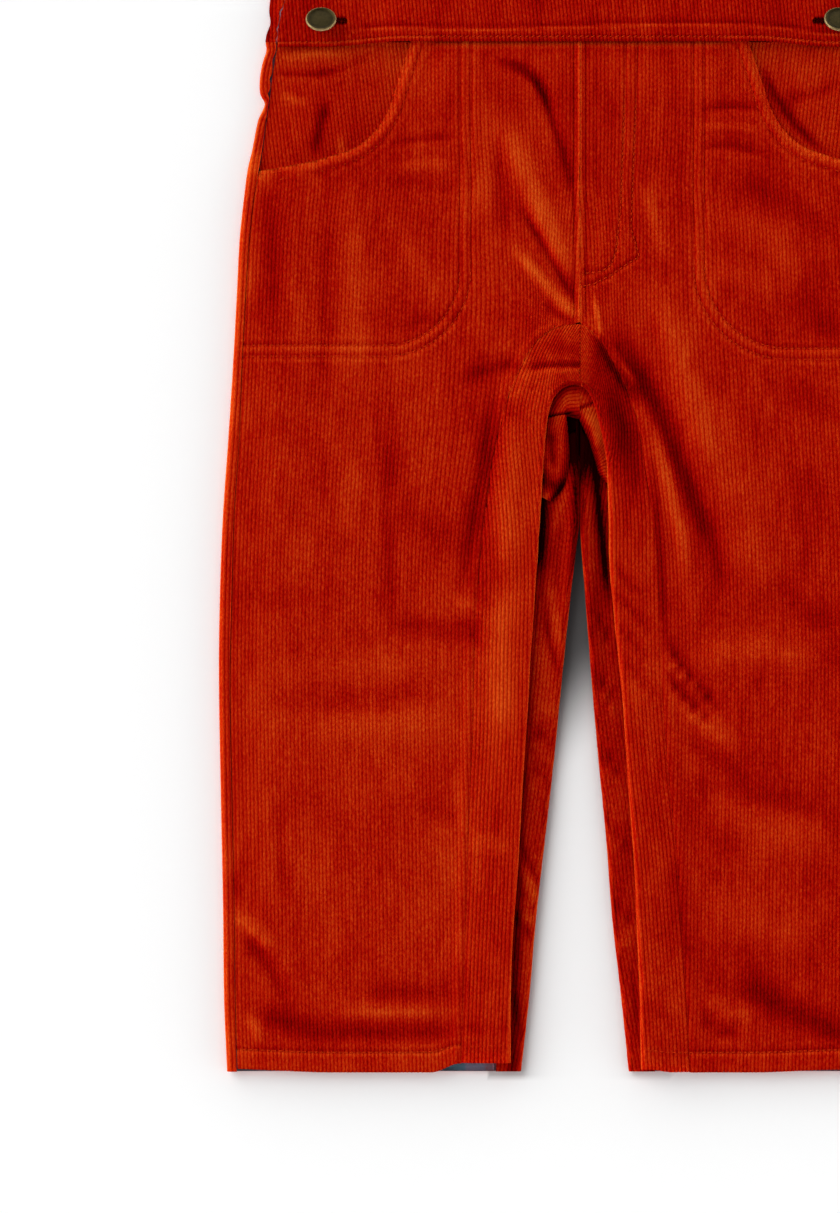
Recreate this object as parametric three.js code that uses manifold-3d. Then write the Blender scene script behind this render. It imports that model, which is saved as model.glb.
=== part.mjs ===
// A pair of toddler's corduroy overalls laid out flat, front up.
// Millimetres. +X is to the right, +Y towards the shoulders, +Z up from the surface they lie on.
// Heights y in the tables are counted from the leg hems; the group is moved at the end so that the origin is
// the middle of the underside. "Left" and "right" are as seen from the front.
import * as THREE from "three";
import { mergeVertices } from "three/addons/utils/BufferGeometryUtils.js";
import Module from "manifold-3d";

const wasm = await Module();
wasm.setup();

// Driving dimensions
const CLOTH = 1.8; // corduroy with its flannel backing
const HALF = CLOTH / 2;
const GAP = 0.3; // between pieces at a seam
const LAYER = CLOTH + GAP; // from one layer's middle to the next one's
const LENGTH = 744; // hem to the top of the shoulder straps
const WAIST_Y = 499; // the waistband's lower edge
const BAND_HEIGHT = 24;
const BAND_TOP = WAIST_Y + BAND_HEIGHT;
const CROTCH_Y = 362; // where the four leg panels meet
const ARCH_Y = 332; // the lower edge of the cloth between the legs
const POCKET_CORNER_Y = 436;
const FACING_DROP = 0.2; // the pocket facing's extra clearance under the front
const SEAM_TUCK = 4; // how far a lower piece runs in under the waistband
const FLOOR_Z = HALF; // middle of the layer that lies on the surface
const SIDE_Z = 5.3; // middle of the front where it meets the side seam
const OPENING_Z = 3.5; // middle of the back's turned edge beside the hip opening
const FRONT_RISE = 0.9; // the front lies this much higher inside the side seam
const FOLD_RISE = 2.2; // and this much higher again along the inner leg
const TURN_RADIUS = 1.4; // the inner leg's rolled front edge, at the cloth's middle
const STRIP_RADIUS = 1.25; // the fold of the back panel along the gap between the legs
const TURN_UNDER = 7; // how far the rolled edge runs back under the front
const BAND_Z = 7.4;
const BAND_END_DROP = 1.8; // the waistband sinks over the pocket openings
const BUTTON_RADIUS = 7.5;
const BUTTON_RIM = 1.8;
const SHANK_RADIUS = 1.9;
const BUTTON_TILT = THREE.MathUtils.degToRad(36);
const SIDE_BUTTON = { x: 125.8, y: 510.5 };
const STRAP_BUTTON_Y = 651;
const SLOT_LENGTH = 16;
const SLOT_WIDTH = 4.6;
const BIB_TOP = 671;
const BIB_Z = 6.1;
const BIB_SWELL = 0.4;
const BACK_BIB_TOP = 660;
const STRAP_WIDTH = 30;
const STRAP_CLOTH = 2.4;
const STRAP_X = 54;
const STRAP_END_Y = 636;
const STRAP_HIGH_Z = 5.4; // its upper run, past the shoulder fold
const STRAP_ON_BIB_Z = BIB_Z + BIB_SWELL + HALF + GAP + STRAP_CLOTH / 2;
const CASING_GATHERS = 20;
const GATHER_HEIGHT = 1.4;
const LINING = 1; // flannel

// Distances from the centre line at heights above the hem, the same on both sides.
const SIDES = [
  { y: 0, outer: 171, seam: 166 },
  { y: 35, outer: 172.5, seam: 167 },
  { y: 80, outer: 173, seam: 167.5 },
  { y: 130, outer: 174, seam: 168.5 },
  { y: 190, outer: 175, seam: 169.5 },
  { y: 232, outer: 174.5, seam: 168.5 },
  { y: 270, outer: 173, seam: 167.5 },
  { y: 306, outer: 170.5, seam: 165 },
  { y: 345, outer: 168, seam: 163.5 },
  { y: 383, outer: 166, seam: 161.5 },
  { y: 403, outer: 165, seam: 160 },
  { y: 422, outer: 163, seam: 158 },
  { y: 436, outer: 161.2, seam: 155.5 },
  { y: 446, outer: 159, seam: 153.8 },
  { y: 461, outer: 156, seam: 151.8 },
  { y: 469, outer: 152.8, seam: 150.6 },
  { y: 474, outer: 155, seam: 150 },
  { y: 481, outer: 155.2, seam: 149.2 },
  { y: 489, outer: 153.8, seam: 148 },
  { y: 495, outer: 152, seam: 147 },
  { y: 499, outer: 152.4, seam: 146.6 },
  { y: 503, outer: 151.8, seam: 146.4 },
  { y: 508, outer: 150, seam: 146 },
  { y: 514, outer: 150.6, seam: 144.5 },
  { y: 523, outer: 149.6, seam: 141.5 },
];

// The back panel turns to the front inside each leg: its seam and its rolled edge, from crotch to hem.
const TURNS = {
  left: [
    { seamX: 0, seamY: 362, foldX: 0, foldY: 332 },
    { seamX: -6, seamY: 361.5, foldX: -3, foldY: 332.4 },
    { seamX: -12.5, seamY: 360, foldX: -6, foldY: 332 },
    { seamX: -21.5, seamY: 353, foldX: -9.5, foldY: 330 },
    { seamX: -28.5, seamY: 341, foldX: -13, foldY: 325.5 },
    { seamX: -33, seamY: 331, foldX: -15, foldY: 319 },
    { seamX: -37, seamY: 318, foldX: -16.5, foldY: 309 },
    { seamX: -42, seamY: 297, foldX: -17.6, foldY: 294 },
    { seamX: -45.5, seamY: 272, foldX: -19, foldY: 271 },
    { seamX: -49, seamY: 240, foldX: -21, foldY: 240 },
    { seamX: -51, seamY: 204, foldX: -23.5, foldY: 204 },
    { seamX: -52, seamY: 165, foldX: -25.8, foldY: 165 },
    { seamX: -53.5, seamY: 130, foldX: -28, foldY: 130 },
    { seamX: -54.5, seamY: 93, foldX: -30.3, foldY: 93 },
    { seamX: -56, seamY: 50, foldX: -33, foldY: 50 },
    { seamX: -57.5, seamY: 0, foldX: -33.5, foldY: 0 },
  ],
  right: [
    { seamX: 0, seamY: 362, foldX: 0, foldY: 332 },
    { seamX: 5, seamY: 359, foldX: 2.5, foldY: 331 },
    { seamX: 10.5, seamY: 353, foldX: 5, foldY: 328 },
    { seamX: 16, seamY: 344, foldX: 7.5, foldY: 322 },
    { seamX: 21, seamY: 334, foldX: 9.5, foldY: 314 },
    { seamX: 27.5, seamY: 316, foldX: 11.8, foldY: 303 },
    { seamX: 31, seamY: 295, foldX: 13.2, foldY: 290 },
    { seamX: 35, seamY: 268, foldX: 13.8, foldY: 268 },
    { seamX: 37, seamY: 248, foldX: 14, foldY: 248 },
    { seamX: 38.5, seamY: 219, foldX: 16.5, foldY: 219 },
    { seamX: 39.5, seamY: 185, foldX: 20, foldY: 185 },
    { seamX: 42.5, seamY: 146, foldX: 22.7, foldY: 146 },
    { seamX: 46.5, seamY: 107, foldX: 25.6, foldY: 107 },
    { seamX: 49, seamY: 73, foldX: 27.3, foldY: 73 },
    { seamX: 51.5, seamY: 36, foldX: 28.7, foldY: 36 },
    { seamX: 53.5, seamY: 0, foldX: 29.5, foldY: 0 },
  ],
};

// The lower fold of the back panel, which shows beside the gap between the legs.
const STRIPS = {
  left: [
    { y: 0, edge: -28.3 },
    { y: 35, edge: -24.4 },
    { y: 74, edge: -21 },
    { y: 112, edge: -16.7 },
    { y: 151, edge: -12.3 },
    { y: 190, edge: -8.5 },
    { y: 228, edge: -4.6 },
    { y: 256, edge: -1.6 },
    { y: 272, edge: -0.6 },
    { y: 300, edge: -0.4 },
    { y: 499, edge: -0.4 },
  ],
  right: [
    { y: 0, edge: 23.7 },
    { y: 35, edge: 20.1 },
    { y: 74, edge: 15.7 },
    { y: 112, edge: 12.8 },
    { y: 151, edge: 9 },
    { y: 190, edge: 5.6 },
    { y: 228, edge: 2.7 },
    { y: 256, edge: 0.6 },
    { y: 272, edge: 0.4 },
    { y: 300, edge: 0.4 },
    { y: 499, edge: 0.4 },
  ],
};

// The cloth rolling down under the arch: a rail hidden under the front, and the rail beside the hole.
const CROTCH_ROLLS = {
  left: [
    { hiddenX: 0, hiddenY: 338, edgeX: 0, edgeY: 316 },
    { hiddenX: -6, hiddenY: 337, edgeX: -6.5, edgeY: 317 },
    { hiddenX: -12.5, hiddenY: 333, edgeX: -6.2, edgeY: 310 },
    { hiddenX: -18, hiddenY: 325, edgeX: -5.4, edgeY: 302 },
    { hiddenX: -20.5, hiddenY: 313, edgeX: -5.6, edgeY: 294 },
    { hiddenX: -21, hiddenY: 300, edgeX: -9, edgeY: 288 },
    { hiddenX: -21, hiddenY: 288, edgeX: -14.5, edgeY: 284 },
  ],
  right: [
    { hiddenX: 0, hiddenY: 338, edgeX: 0, edgeY: 316 },
    { hiddenX: 5, hiddenY: 336, edgeX: 2.5, edgeY: 309 },
    { hiddenX: 10, hiddenY: 331, edgeX: 5.5, edgeY: 301 },
    { hiddenX: 13, hiddenY: 321, edgeX: 7.6, edgeY: 293 },
    { hiddenX: 15, hiddenY: 307, edgeX: 8.6, edgeY: 286 },
    { hiddenX: 16, hiddenY: 292, edgeX: 9.2, edgeY: 278 },
    { hiddenX: 16, hiddenY: 278, edgeX: 9.6, edgeY: 267 },
  ],
};

// The curved pocket opening of the left front, as distances from the centre line.
const POCKET = [
  { x: 155.5, y: 436 },
  { x: 143.5, y: 438 },
  { x: 128.5, y: 441 },
  { x: 115, y: 445 },
  { x: 107, y: 448.5 },
  { x: 99, y: 455.5 },
  { x: 92.7, y: 465.5 },
  { x: 89, y: 476.5 },
  { x: 85.3, y: 488 },
  { x: 81.6, y: 499 },
];

// The piece of cloth behind the pocket opening: how far from the centre line it runs at each height.
const FACING = [
  { y: 430, inner: 150 },
  { y: 432, inner: 138 },
  { y: 435, inner: 123 },
  { y: 439, inner: 110 },
  { y: 443, inner: 101 },
  { y: 450, inner: 93 },
  { y: 460, inner: 87 },
  { y: 471, inner: 83 },
  { y: 482, inner: 79.5 },
  { y: 491, inner: 77.4 },
  { y: 498.8, inner: 76.4 },
];

// Half widths of the bib, and of the smaller bib at the back.
const BIB = [
  { y: 519, half: 98 },
  { y: 530, half: 94 },
  { y: 550, half: 87 },
  { y: 575, half: 81.5 },
  { y: 600, half: 78 },
  { y: 630, half: 76 },
  { y: 655, half: 75 },
  { y: 671, half: 75 },
];
const BACK_BIB = [
  { y: 523.3, half: 96 },
  { y: 545, half: 85 },
  { y: 575, half: 76 },
  { y: 610, half: 72 },
  { y: 640, half: 70.5 },
  { y: 660, half: 70 },
];

// The largest folds: a straight spine with a sideways bow, its half width and height (troughs are negative).
const FOLDS = {
  left: [
    { name: "valley beside the inseam", x0: -22, y0: 359, x1: -57, y1: 220, bow: 9, width: 8, height: -2.2 },
    { name: "crest of the turned edge", x0: -12, y0: 354, x1: -42, y1: 215, bow: 9, width: 6.5, height: 2.3 },
    { name: "upper crotch fold", x0: -30, y0: 490, x1: -1, y1: 430, bow: 5, width: 6, height: -1.5 },
    { name: "lower crotch fold", x0: -30, y0: 404, x1: 2, y1: 366, bow: -3, width: 6, height: -1.9 },
    { name: "swell above it", x0: -38, y0: 440, x1: -14, y1: 378, bow: 4, width: 9, height: 1.5 },
    { name: "crease over the arch", x0: -27, y0: 341, x1: 2, y1: 344, bow: 1, width: 3.5, height: -1 },
    { name: "knee hollow", x0: -124, y0: 208, x1: -52, y1: 222, bow: 4, width: 11, height: -1.3 },
    { name: "kink at the inseam", x0: -62, y0: 222, x1: -48, y1: 236, bow: 0, width: 5, height: 1.5 },
    { name: "shin hollow", x0: -150, y0: 174, x1: -75, y1: 186, bow: -4, width: 9, height: -0.8 },
    { name: "lower side fold", x0: -170, y0: 86, x1: -138, y1: 38, bow: -3, width: 6, height: -1.1 },
    { name: "fold into the hem", x0: -164, y0: 50, x1: -120, y1: 14, bow: -5, width: 6, height: -1.5 },
    { name: "hollow over the hem", x0: -122, y0: 22, x1: -58, y1: 27, bow: -2, width: 6, height: -1.2 },
    { name: "pocket crease", x0: -104, y0: 448, x1: -54, y1: 444, bow: 2, width: 5, height: -0.7 },
  ],
  right: [
    { name: "trough from the crotch", x0: 8, y0: 357, x1: 56, y1: 236, bow: -5, width: 7.5, height: -3.4 },
    { name: "crest inside it", x0: 14, y0: 330, x1: 36, y1: 226, bow: -5, width: 5.5, height: 2.2 },
    { name: "crest outside it", x0: 24, y0: 372, x1: 74, y1: 226, bow: -6, width: 10, height: 1.5 },
    { name: "crease over the arch", x0: -2, y0: 344, x1: 22, y1: 336, bow: -2, width: 3.5, height: -1 },
    { name: "upper inner crease", x0: 36, y0: 214, x1: 62, y1: 190, bow: 1, width: 4, height: -1 },
    { name: "lower inner crease", x0: 36, y0: 190, x1: 62, y1: 164, bow: 1, width: 4, height: -0.9 },
    { name: "knee hollow", x0: 60, y0: 212, x1: 140, y1: 196, bow: -3, width: 11, height: -1.1 },
    { name: "shin hollow", x0: 60, y0: 120, x1: 150, y1: 98, bow: 3, width: 12, height: -0.8 },
    { name: "fold over the hem", x0: 62, y0: 36, x1: 136, y1: 14, bow: 3, width: 6.5, height: -1.5 },
    { name: "crest over the hem", x0: 56, y0: 22, x1: 92, y1: 10, bow: 0, width: 4, height: 0.7 },
    { name: "pocket hollow", x0: 64, y0: 452, x1: 104, y1: 446, bow: 3, width: 6, height: -0.8 },
    { name: "side fold", x0: 168, y0: 96, x1: 142, y1: 52, bow: 3, width: 6, height: -1 },
  ],
};

const CORDUROY = { color: 0xa81c08, roughness: 0.92, metalness: 0 };
const FLANNEL = { color: 0x4a5a72, roughness: 0.95, metalness: 0 };
const BRASS = { color: 0x6a5a34, roughness: 0.38, metalness: 1 };

const SIGN = { left: -1, right: 1 };
const lerp = THREE.MathUtils.lerp;
const smooth = (low, high, value) => THREE.MathUtils.smoothstep(value, low, high);
const range = (n) => Array.from({ length: n + 1 }, (_, i) => i / n);

// A smooth curve through a table's rows: the column `name` where the column `key` has the value `at`.
function column(table, key, name, at) {
  const rising = table[table.length - 1][key] > table[0][key];
  let i = 0;
  while (i < table.length - 2 && (rising ? table[i + 1][key] < at : table[i + 1][key] > at)) i++;
  const slope = (j) => {
    const a = table[Math.max(0, j - 1)];
    const b = table[Math.min(table.length - 1, j + 1)];
    return (b[name] - a[name]) / (b[key] - a[key]);
  };
  const [p, q] = [table[i], table[i + 1]];
  const span = q[key] - p[key];
  const t = THREE.MathUtils.clamp((at - p[key]) / span, 0, 1);
  const t2 = t * t;
  const t3 = t2 * t;
  return (
    p[name] * (2 * t3 - 3 * t2 + 1) +
    q[name] * (3 * t2 - 2 * t3) +
    slope(i) * span * (t3 - 2 * t2 + t) +
    slope(i + 1) * span * (t3 - t2)
  );
}

// The same along a table's own order, from its first row (0) to its last (1).
function railPoint(table, xName, yName, at) {
  const place = table.map((row, index) => ({ index, x: row[xName], y: row[yName] }));
  const index = at * (table.length - 1);
  return [column(place, "index", "x", index), column(place, "index", "y", index)];
}

function foldsHeight(folds, x, y) {
  let sum = 0;
  for (const f of folds) {
    const [dx, dy] = [f.x1 - f.x0, f.y1 - f.y0];
    const long = Math.hypot(dx, dy);
    const t = ((x - f.x0) * dx + (y - f.y0) * dy) / (long * long);
    if (t <= 0 || t >= 1) continue;
    const off = ((x - f.x0) * dy - (y - f.y0) * dx) / long - f.bow * 4 * t * (1 - t);
    sum += f.height * Math.exp(-((off / f.width) ** 2)) * smooth(0, 0.3, t) * (1 - smooth(0.7, 1, t));
  }
  return sum;
}

// Where the inner leg's rolled edge is at a height, and the inseam.
function foldEdge(side, y) {
  return y < ARCH_Y ? column(TURNS[side].slice(1), "foldY", "foldX", Math.min(y, 330)) : 0;
}

function inseam(side, y) {
  return y < CROTCH_Y ? column(TURNS[side], "seamY", "seamX", y) : 0;
}

// Middle of the front's cloth above the surface.
function frontHeight(side, x, y) {
  const seam = column(SIDES, "y", "seam", y);
  const rise = FRONT_RISE * smooth(0, 22, seam - Math.abs(x)) * (1 - smooth(470, WAIST_Y - 4, y));
  const fromEdge = Math.abs(x - foldEdge(side, y));
  const inner = FOLD_RISE * (1 - smooth(3, 36, fromEdge)) * (1 - smooth(ARCH_Y + 4, 384, y));
  const calm = (1 - smooth(WAIST_Y - 24, WAIST_Y - 6, y)) * smooth(1, 12, seam - Math.abs(x));
  return SIDE_Z + rise + inner + calm * foldsHeight(FOLDS[side], x, y);
}

// The front's hem lifts a little towards the inner leg, where the lining shows.
function hemLift(side, x) {
  if (side === "left") return 4.4 * smooth(-72, -58, x) + 1.6 * smooth(120, 170, -x);
  return 1.3 * (1 - smooth(34, 44, x)) + 1.3 * smooth(84, 126, x);
}

function lifted(side, x, y) {
  return y + hemLift(side, x) * (1 - smooth(0, 40, y));
}

// A sheet of even thickness through a grid of points, as one closed solid. `upright` names the borders
// (first or last column) whose walls stand upright, so that the next piece lies beside them.
function sheet(grid, { thickness = CLOTH, upright = [] } = {}) {
  const [rows, cols] = [grid.length, grid[0].length];
  const at = (i, j) => grid[THREE.MathUtils.clamp(i, 0, rows - 1)][THREE.MathUtils.clamp(j, 0, cols - 1)];
  const faces = [[], []];
  for (let i = 0; i < rows; i++)
    for (let j = 0; j < cols; j++) {
      const across = at(i, j + 1).clone().sub(at(i, j - 1));
      const along = at(i + 1, j).clone().sub(at(i - 1, j));
      const normal = across.cross(along).normalize();
      if ((j === 0 && upright.includes("first")) || (j === cols - 1 && upright.includes("last")))
        normal.set(0, 0, Math.sign(normal.z));
      faces[0].push(at(i, j).clone().addScaledVector(normal, thickness / 2));
      faces[1].push(at(i, j).clone().addScaledVector(normal, -thickness / 2));
    }
  return solidBetween(faces[0], faces[1], rows, cols);
}

// A closed solid between two grids of points: the first faces out, the second is its other side.
function solidBetween(outer, inner, rows, cols) {
  const points = [...outer, ...inner];
  const index = [];
  const id = (face, i, j) => face * rows * cols + i * cols + j;
  const quad = (a, b, c, d) => index.push(a, b, c, a, c, d);
  for (let i = 0; i < rows - 1; i++)
    for (let j = 0; j < cols - 1; j++) {
      quad(id(0, i, j), id(0, i, j + 1), id(0, i + 1, j + 1), id(0, i + 1, j));
      quad(id(1, i, j), id(1, i + 1, j), id(1, i + 1, j + 1), id(1, i, j + 1));
    }
  for (let j = 0; j < cols - 1; j++) {
    quad(id(1, 0, j), id(1, 0, j + 1), id(0, 0, j + 1), id(0, 0, j));
    quad(id(0, rows - 1, j), id(0, rows - 1, j + 1), id(1, rows - 1, j + 1), id(1, rows - 1, j));
  }
  for (let i = 0; i < rows - 1; i++) {
    quad(id(1, i + 1, 0), id(1, i, 0), id(0, i, 0), id(0, i + 1, 0));
    quad(id(0, i + 1, cols - 1), id(0, i, cols - 1), id(1, i, cols - 1), id(1, i + 1, cols - 1));
  }
  const geometry = new THREE.BufferGeometry().setFromPoints(points);
  geometry.setIndex(index);
  return geometry;
}

const group = new THREE.Group();

function add(name, geometry, finish) {
  const mesh = new THREE.Mesh(geometry, new THREE.MeshStandardMaterial({ ...finish, name }));
  mesh.name = name;
  group.add(mesh);
  return mesh;
}

// Booleans: a geometry as a manifold solid, and back.
function toSolid(geometry) {
  const bare = geometry.clone();
  for (const name of Object.keys(bare.attributes)) if (name !== "position") bare.deleteAttribute(name);
  const merged = mergeVertices(bare, 1e-4);
  return new wasm.Manifold(
    new wasm.Mesh({
      numProp: 3,
      vertProperties: merged.attributes.position.array,
      triVerts: new Uint32Array(merged.index.array),
    }),
  );
}

function fromSolid(solid) {
  const mesh = solid.getMesh();
  const geometry = new THREE.BufferGeometry();
  geometry.setAttribute("position", new THREE.BufferAttribute(new Float32Array(mesh.vertProperties), 3));
  geometry.setIndex([...mesh.triVerts]);
  return geometry;
}

// Front legs: from the hem up to the pocket opening and the waistband, one panel on each side.
const FRONT_ROWS = [
  0, 8, 20, 38, 60, 84, 108, 132, 154, 172, 188, 202, 216, 230, 246, 262, 278, 294, 308, 320, 331, 341, 348,
  353, 357, 360, 361.6, 363, 368,
];
const FRONT_COLUMNS = range(12).map((u) => 1 - (1 - u) ** 1.35);
const UPPER_ROWS = 8;

function frontTop(side, u) {
  const split = 0.5; // share of the columns that end on the pocket opening
  if (u < split) {
    const [x, y] = railPoint(POCKET, "x", "y", u / split);
    return [SIGN[side] * x, y];
  }
  const t = (u - split) / (1 - split);
  const x = lerp(POCKET[POCKET.length - 1].x, GAP / 2, t);
  return [SIGN[side] * x, WAIST_Y + SEAM_TUCK * smooth(0, 0.12, t)];
}

function frontPoint(side, x, y) {
  return new THREE.Vector3(x, lifted(side, x, y), frontHeight(side, x, y));
}

function frontLeg(side) {
  const s = SIGN[side];
  const straight = (u, y) => {
    const seam = s * (column(SIDES, "y", "seam", y) - GAP / 2);
    const inner = inseam(side, y) + s * (GAP / 2);
    return lerp(seam, inner, u);
  };
  const grid = FRONT_ROWS.map((y) => FRONT_COLUMNS.map((u) => frontPoint(side, straight(u, y), y)));
  const last = FRONT_ROWS[FRONT_ROWS.length - 1];
  for (const v of range(UPPER_ROWS).slice(1))
    grid.push(
      FRONT_COLUMNS.map((u) => {
        const [topX, topY] = frontTop(side, u);
        const y = lerp(last, topY, v);
        const edge = column(SIDES, "y", "seam", y) - GAP / 2;
        const x = lerp(straight(u, last), topX, v);
        return frontPoint(side, Math.abs(x) > edge ? s * edge : x, y);
      }),
    );
  const outward = side === "left" ? grid : grid.map((row) => row.slice().reverse());
  return sheet(outward, { upright: ["first", "last"] });
}

// A curl of cloth: steps round an arc, then straight on. It is a whole half turn with a tail of length
// `under` where `open` is 1, and a short curl of `least` radians where it is 0.
const CURL_STEPS = [0.25, 0.5, 0.75, 1];
const ARCH_CURL = 1.7;
const CENTRE_CURL = 1;
const CENTRE_CLEAR = 0.5;

function curl(radius, open, least, under) {
  const whole = lerp(least, Math.PI, open);
  const steps = CURL_STEPS.map((u) => ({
    along: radius * Math.sin(u * whole),
    down: radius * (1 - Math.cos(u * whole)),
  }));
  const tail = lerp(0.6, under, open ** 4);
  const end = steps[steps.length - 1];
  return [...steps, { along: end.along + tail * Math.cos(whole), down: end.down + 0.6 * Math.sin(whole) }];
}

// The back panels' inner edges, turned to the front and rolled under.
const TURN_COLUMNS = range(5);
const TURN_ROWS = 24;
const SEAM_CLEAR = 0.3; // its side of the inseam stands off this much

function backTurn(side) {
  const s = SIGN[side];
  const grid = range(TURN_ROWS).map((v) => {
    const [sx, sy] = railPoint(TURNS[side], "seamX", "seamY", v);
    const [fx, fy] = railPoint(TURNS[side], "foldX", "foldY", v);
    const out = new THREE.Vector2(fx - sx, fy - sy).normalize();
    const seam = [sx + out.x * SEAM_CLEAR, sy + out.y * SEAM_CLEAR];
    const reach = Math.hypot(fx - sx, fy - sy) - TURN_RADIUS - HALF;
    const place = (along) => [seam[0] + out.x * along, seam[1] + out.y * along];
    const row = TURN_COLUMNS.map((u) => {
      const [x, y] = place(u * reach);
      return frontPoint(side, x, y);
    });
    const edge = row[row.length - 1];
    const open = 1 - smooth(244, 266, fy);
    for (const { along, down } of curl(TURN_RADIUS, open, ARCH_CURL, TURN_UNDER)) {
      const [x, y] = place(reach + along);
      row.push(new THREE.Vector3(x, lifted(side, x, y), edge.z - down));
    }
    return row.map((p) => p.setX(s * Math.max(CENTRE_CLEAR, s * p.x)));
  });
  const outward = side === "left" ? grid.reverse() : grid;
  return sheet(outward, { upright: ["first"] });
}

// The crotch: the same cloth rolling down towards the back, seen through the arch.
const ROLL_ROWS = 10;
const ROLL_PROFILE = [
  { u: 0, z: 5.3 },
  { u: 0.3, z: 5.3 },
  { u: 0.5, z: 5.5 },
  { u: 0.7, z: 6 },
  { u: 0.88, z: 5.8 },
  { u: 1, z: 5.3 },
];

function crotchRoll(side) {
  const s = SIGN[side];
  const grid = range(ROLL_ROWS).map((v) => {
    const [hx, hy] = railPoint(CROTCH_ROLLS[side], "hiddenX", "hiddenY", v);
    const [ex, ey] = railPoint(CROTCH_ROLLS[side], "edgeX", "edgeY", v);
    return ROLL_PROFILE.map(({ u, z }) => {
      const x = lerp(hx, ex, u);
      return new THREE.Vector3(s * Math.max(CENTRE_CLEAR, s * x), lerp(hy, ey, u), z);
    });
  });
  return sheet(side === "left" ? grid.reverse() : grid, { thickness: CLOTH * 0.7 });
}

// Back legs: turned over the side edge, flat on the surface, and folded back beside the gap between the legs.
const BACK_ROWS = [
  0, 12, 30, 50, 72, 94, 116, 138, 160, 182, 204, 226, 244, 258, 272, 288, 306, 326, 345, 366, 390, 412,
  428, 440, 452, 462, 468, 474, 482, 490, 495, 498.85,
];
const ARC = range(4).map((u) => u * Math.PI);

function turnHeight(y) {
  return lerp(SIDE_Z, OPENING_Z, smooth(432, 446, y));
}

function backLeg(side) {
  const s = SIGN[side];
  const grid = BACK_ROWS.map((y) => {
    const top = turnHeight(y);
    const radius = (top - FLOOR_Z) / 2;
    const outer = column(SIDES, "y", "outer", y) - HALF;
    const room = y > POCKET_CORNER_Y ? LINING + GAP : GAP / 2;
    const seam = column(SIDES, "y", "seam", y) + room * smooth(430, 446, y) + GAP / 2;
    const strip = Math.abs(column(STRIPS[side], "y", "edge", y));
    const sideStart = Math.max(seam + 0.4, outer - radius);
    const row = [new THREE.Vector3(s * Math.min(seam, sideStart - 0.4), y, top)];
    for (const a of ARC) {
      const x = sideStart + (outer - sideStart) * Math.sin(a);
      row.push(new THREE.Vector3(s * x, y, FLOOR_Z + radius * (1 + Math.cos(a))));
    }
    const foldX = strip + STRIP_RADIUS + HALF;
    for (const u of [0.12, 0.4, 0.7, 0.92, 1])
      row.push(new THREE.Vector3(s * lerp(sideStart, foldX, u), y, FLOOR_Z));
    const under = Math.abs(foldEdge(side, y)) + TURN_UNDER - foldX;
    for (const { along, down } of curl(STRIP_RADIUS, 1 - smooth(296, 326, y), CENTRE_CURL, under))
      row.push(new THREE.Vector3(s * (foldX - along), y, FLOOR_Z + down));
    return row;
  });
  const outward = side === "left" ? grid.map((row) => row.slice().reverse()) : grid;
  return sheet(outward.reverse(), { upright: ["first", "last"] });
}

// The cloth behind each pocket opening, whose outer edge is the front of the hip opening.
function pocketFacing(side) {
  const s = SIGN[side];
  const grid = FACING.map(({ y, inner }) =>
    range(8).map((u) => {
      const edge = column(SIDES, "y", "seam", y) - GAP / 2;
      const x = s * lerp(edge - (y < POCKET_CORNER_Y ? 1 : 0), inner, u);
      return new THREE.Vector3(x, y, frontHeight(side, x, y) - LAYER - FACING_DROP);
    }),
  );
  const outward = side === "left" ? grid : grid.map((row) => row.slice().reverse());
  return sheet(outward, { upright: ["first", "last"] });
}

// Flannel that shows between the pieces: beside the hip openings, and inside the leg hems.
function sideLining(side) {
  const s = SIGN[side];
  const rows = [474, 480, 486, 492, 498, 504, 510, 516, 522];
  const grid = rows.map((y) => {
    const edge = column(SIDES, "y", "seam", y) + GAP / 2;
    return [0, 1].map((u) => new THREE.Vector3(s * (edge + u * (LINING - GAP)), y, y < WAIST_Y ? 3 : 4.1));
  });
  const outward = side === "right" ? grid : grid.map((row) => row.slice().reverse());
  return sheet(outward, { thickness: LINING });
}

const HEM_LININGS = { left: { from: -100, to: -41.5 }, right: { from: 37.8, to: 96 } };

function hemLining(side) {
  const { from, to } = HEM_LININGS[side];
  const z = CLOTH + GAP + LINING / 2;
  const grid = [0.4, 7, 14, 21].map((y) => range(6).map((u) => new THREE.Vector3(lerp(from, to, u), y, z)));
  return sheet(grid, { thickness: LINING });
}

// Waistband across the front, with a buttonhole near each end.
function bandHeight(x) {
  return BAND_Z - BAND_END_DROP * smooth(84, 102, Math.abs(x));
}

function bandBottom(x) {
  return WAIST_Y - 2.6 * smooth(86, 124, Math.abs(x));
}

function slot(x, y, across) {
  const flat = SLOT_LENGTH / 2 - SLOT_WIDTH / 2;
  const shape = new THREE.Shape();
  shape.absarc(flat, 0, SLOT_WIDTH / 2, -Math.PI / 2, Math.PI / 2, false);
  shape.absarc(-flat, 0, SLOT_WIDTH / 2, Math.PI / 2, (3 * Math.PI) / 2, false);
  const cutter = new THREE.ExtrudeGeometry(shape, { depth: 40, bevelEnabled: false, curveSegments: 5 });
  if (!across) cutter.rotateZ(Math.PI / 2);
  return cutter.translate(x, y, -10);
}

function waistband() {
  const grid = range(4).map((v) =>
    range(24).map((u) => {
      const end = column(SIDES, "y", "seam", lerp(WAIST_Y, BAND_TOP, v)) - GAP / 2;
      const x = lerp(-end, end, u);
      return new THREE.Vector3(x, lerp(bandBottom(x), BAND_TOP, v), bandHeight(x));
    }),
  );
  let solid = toSolid(sheet(grid));
  for (const s of [-1, 1])
    solid = solid.subtract(toSolid(slot(s * (SIDE_BUTTON.x - SLOT_LENGTH / 2 + 3.4), SIDE_BUTTON.y, true)));
  return fromSolid(solid);
}

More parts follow.
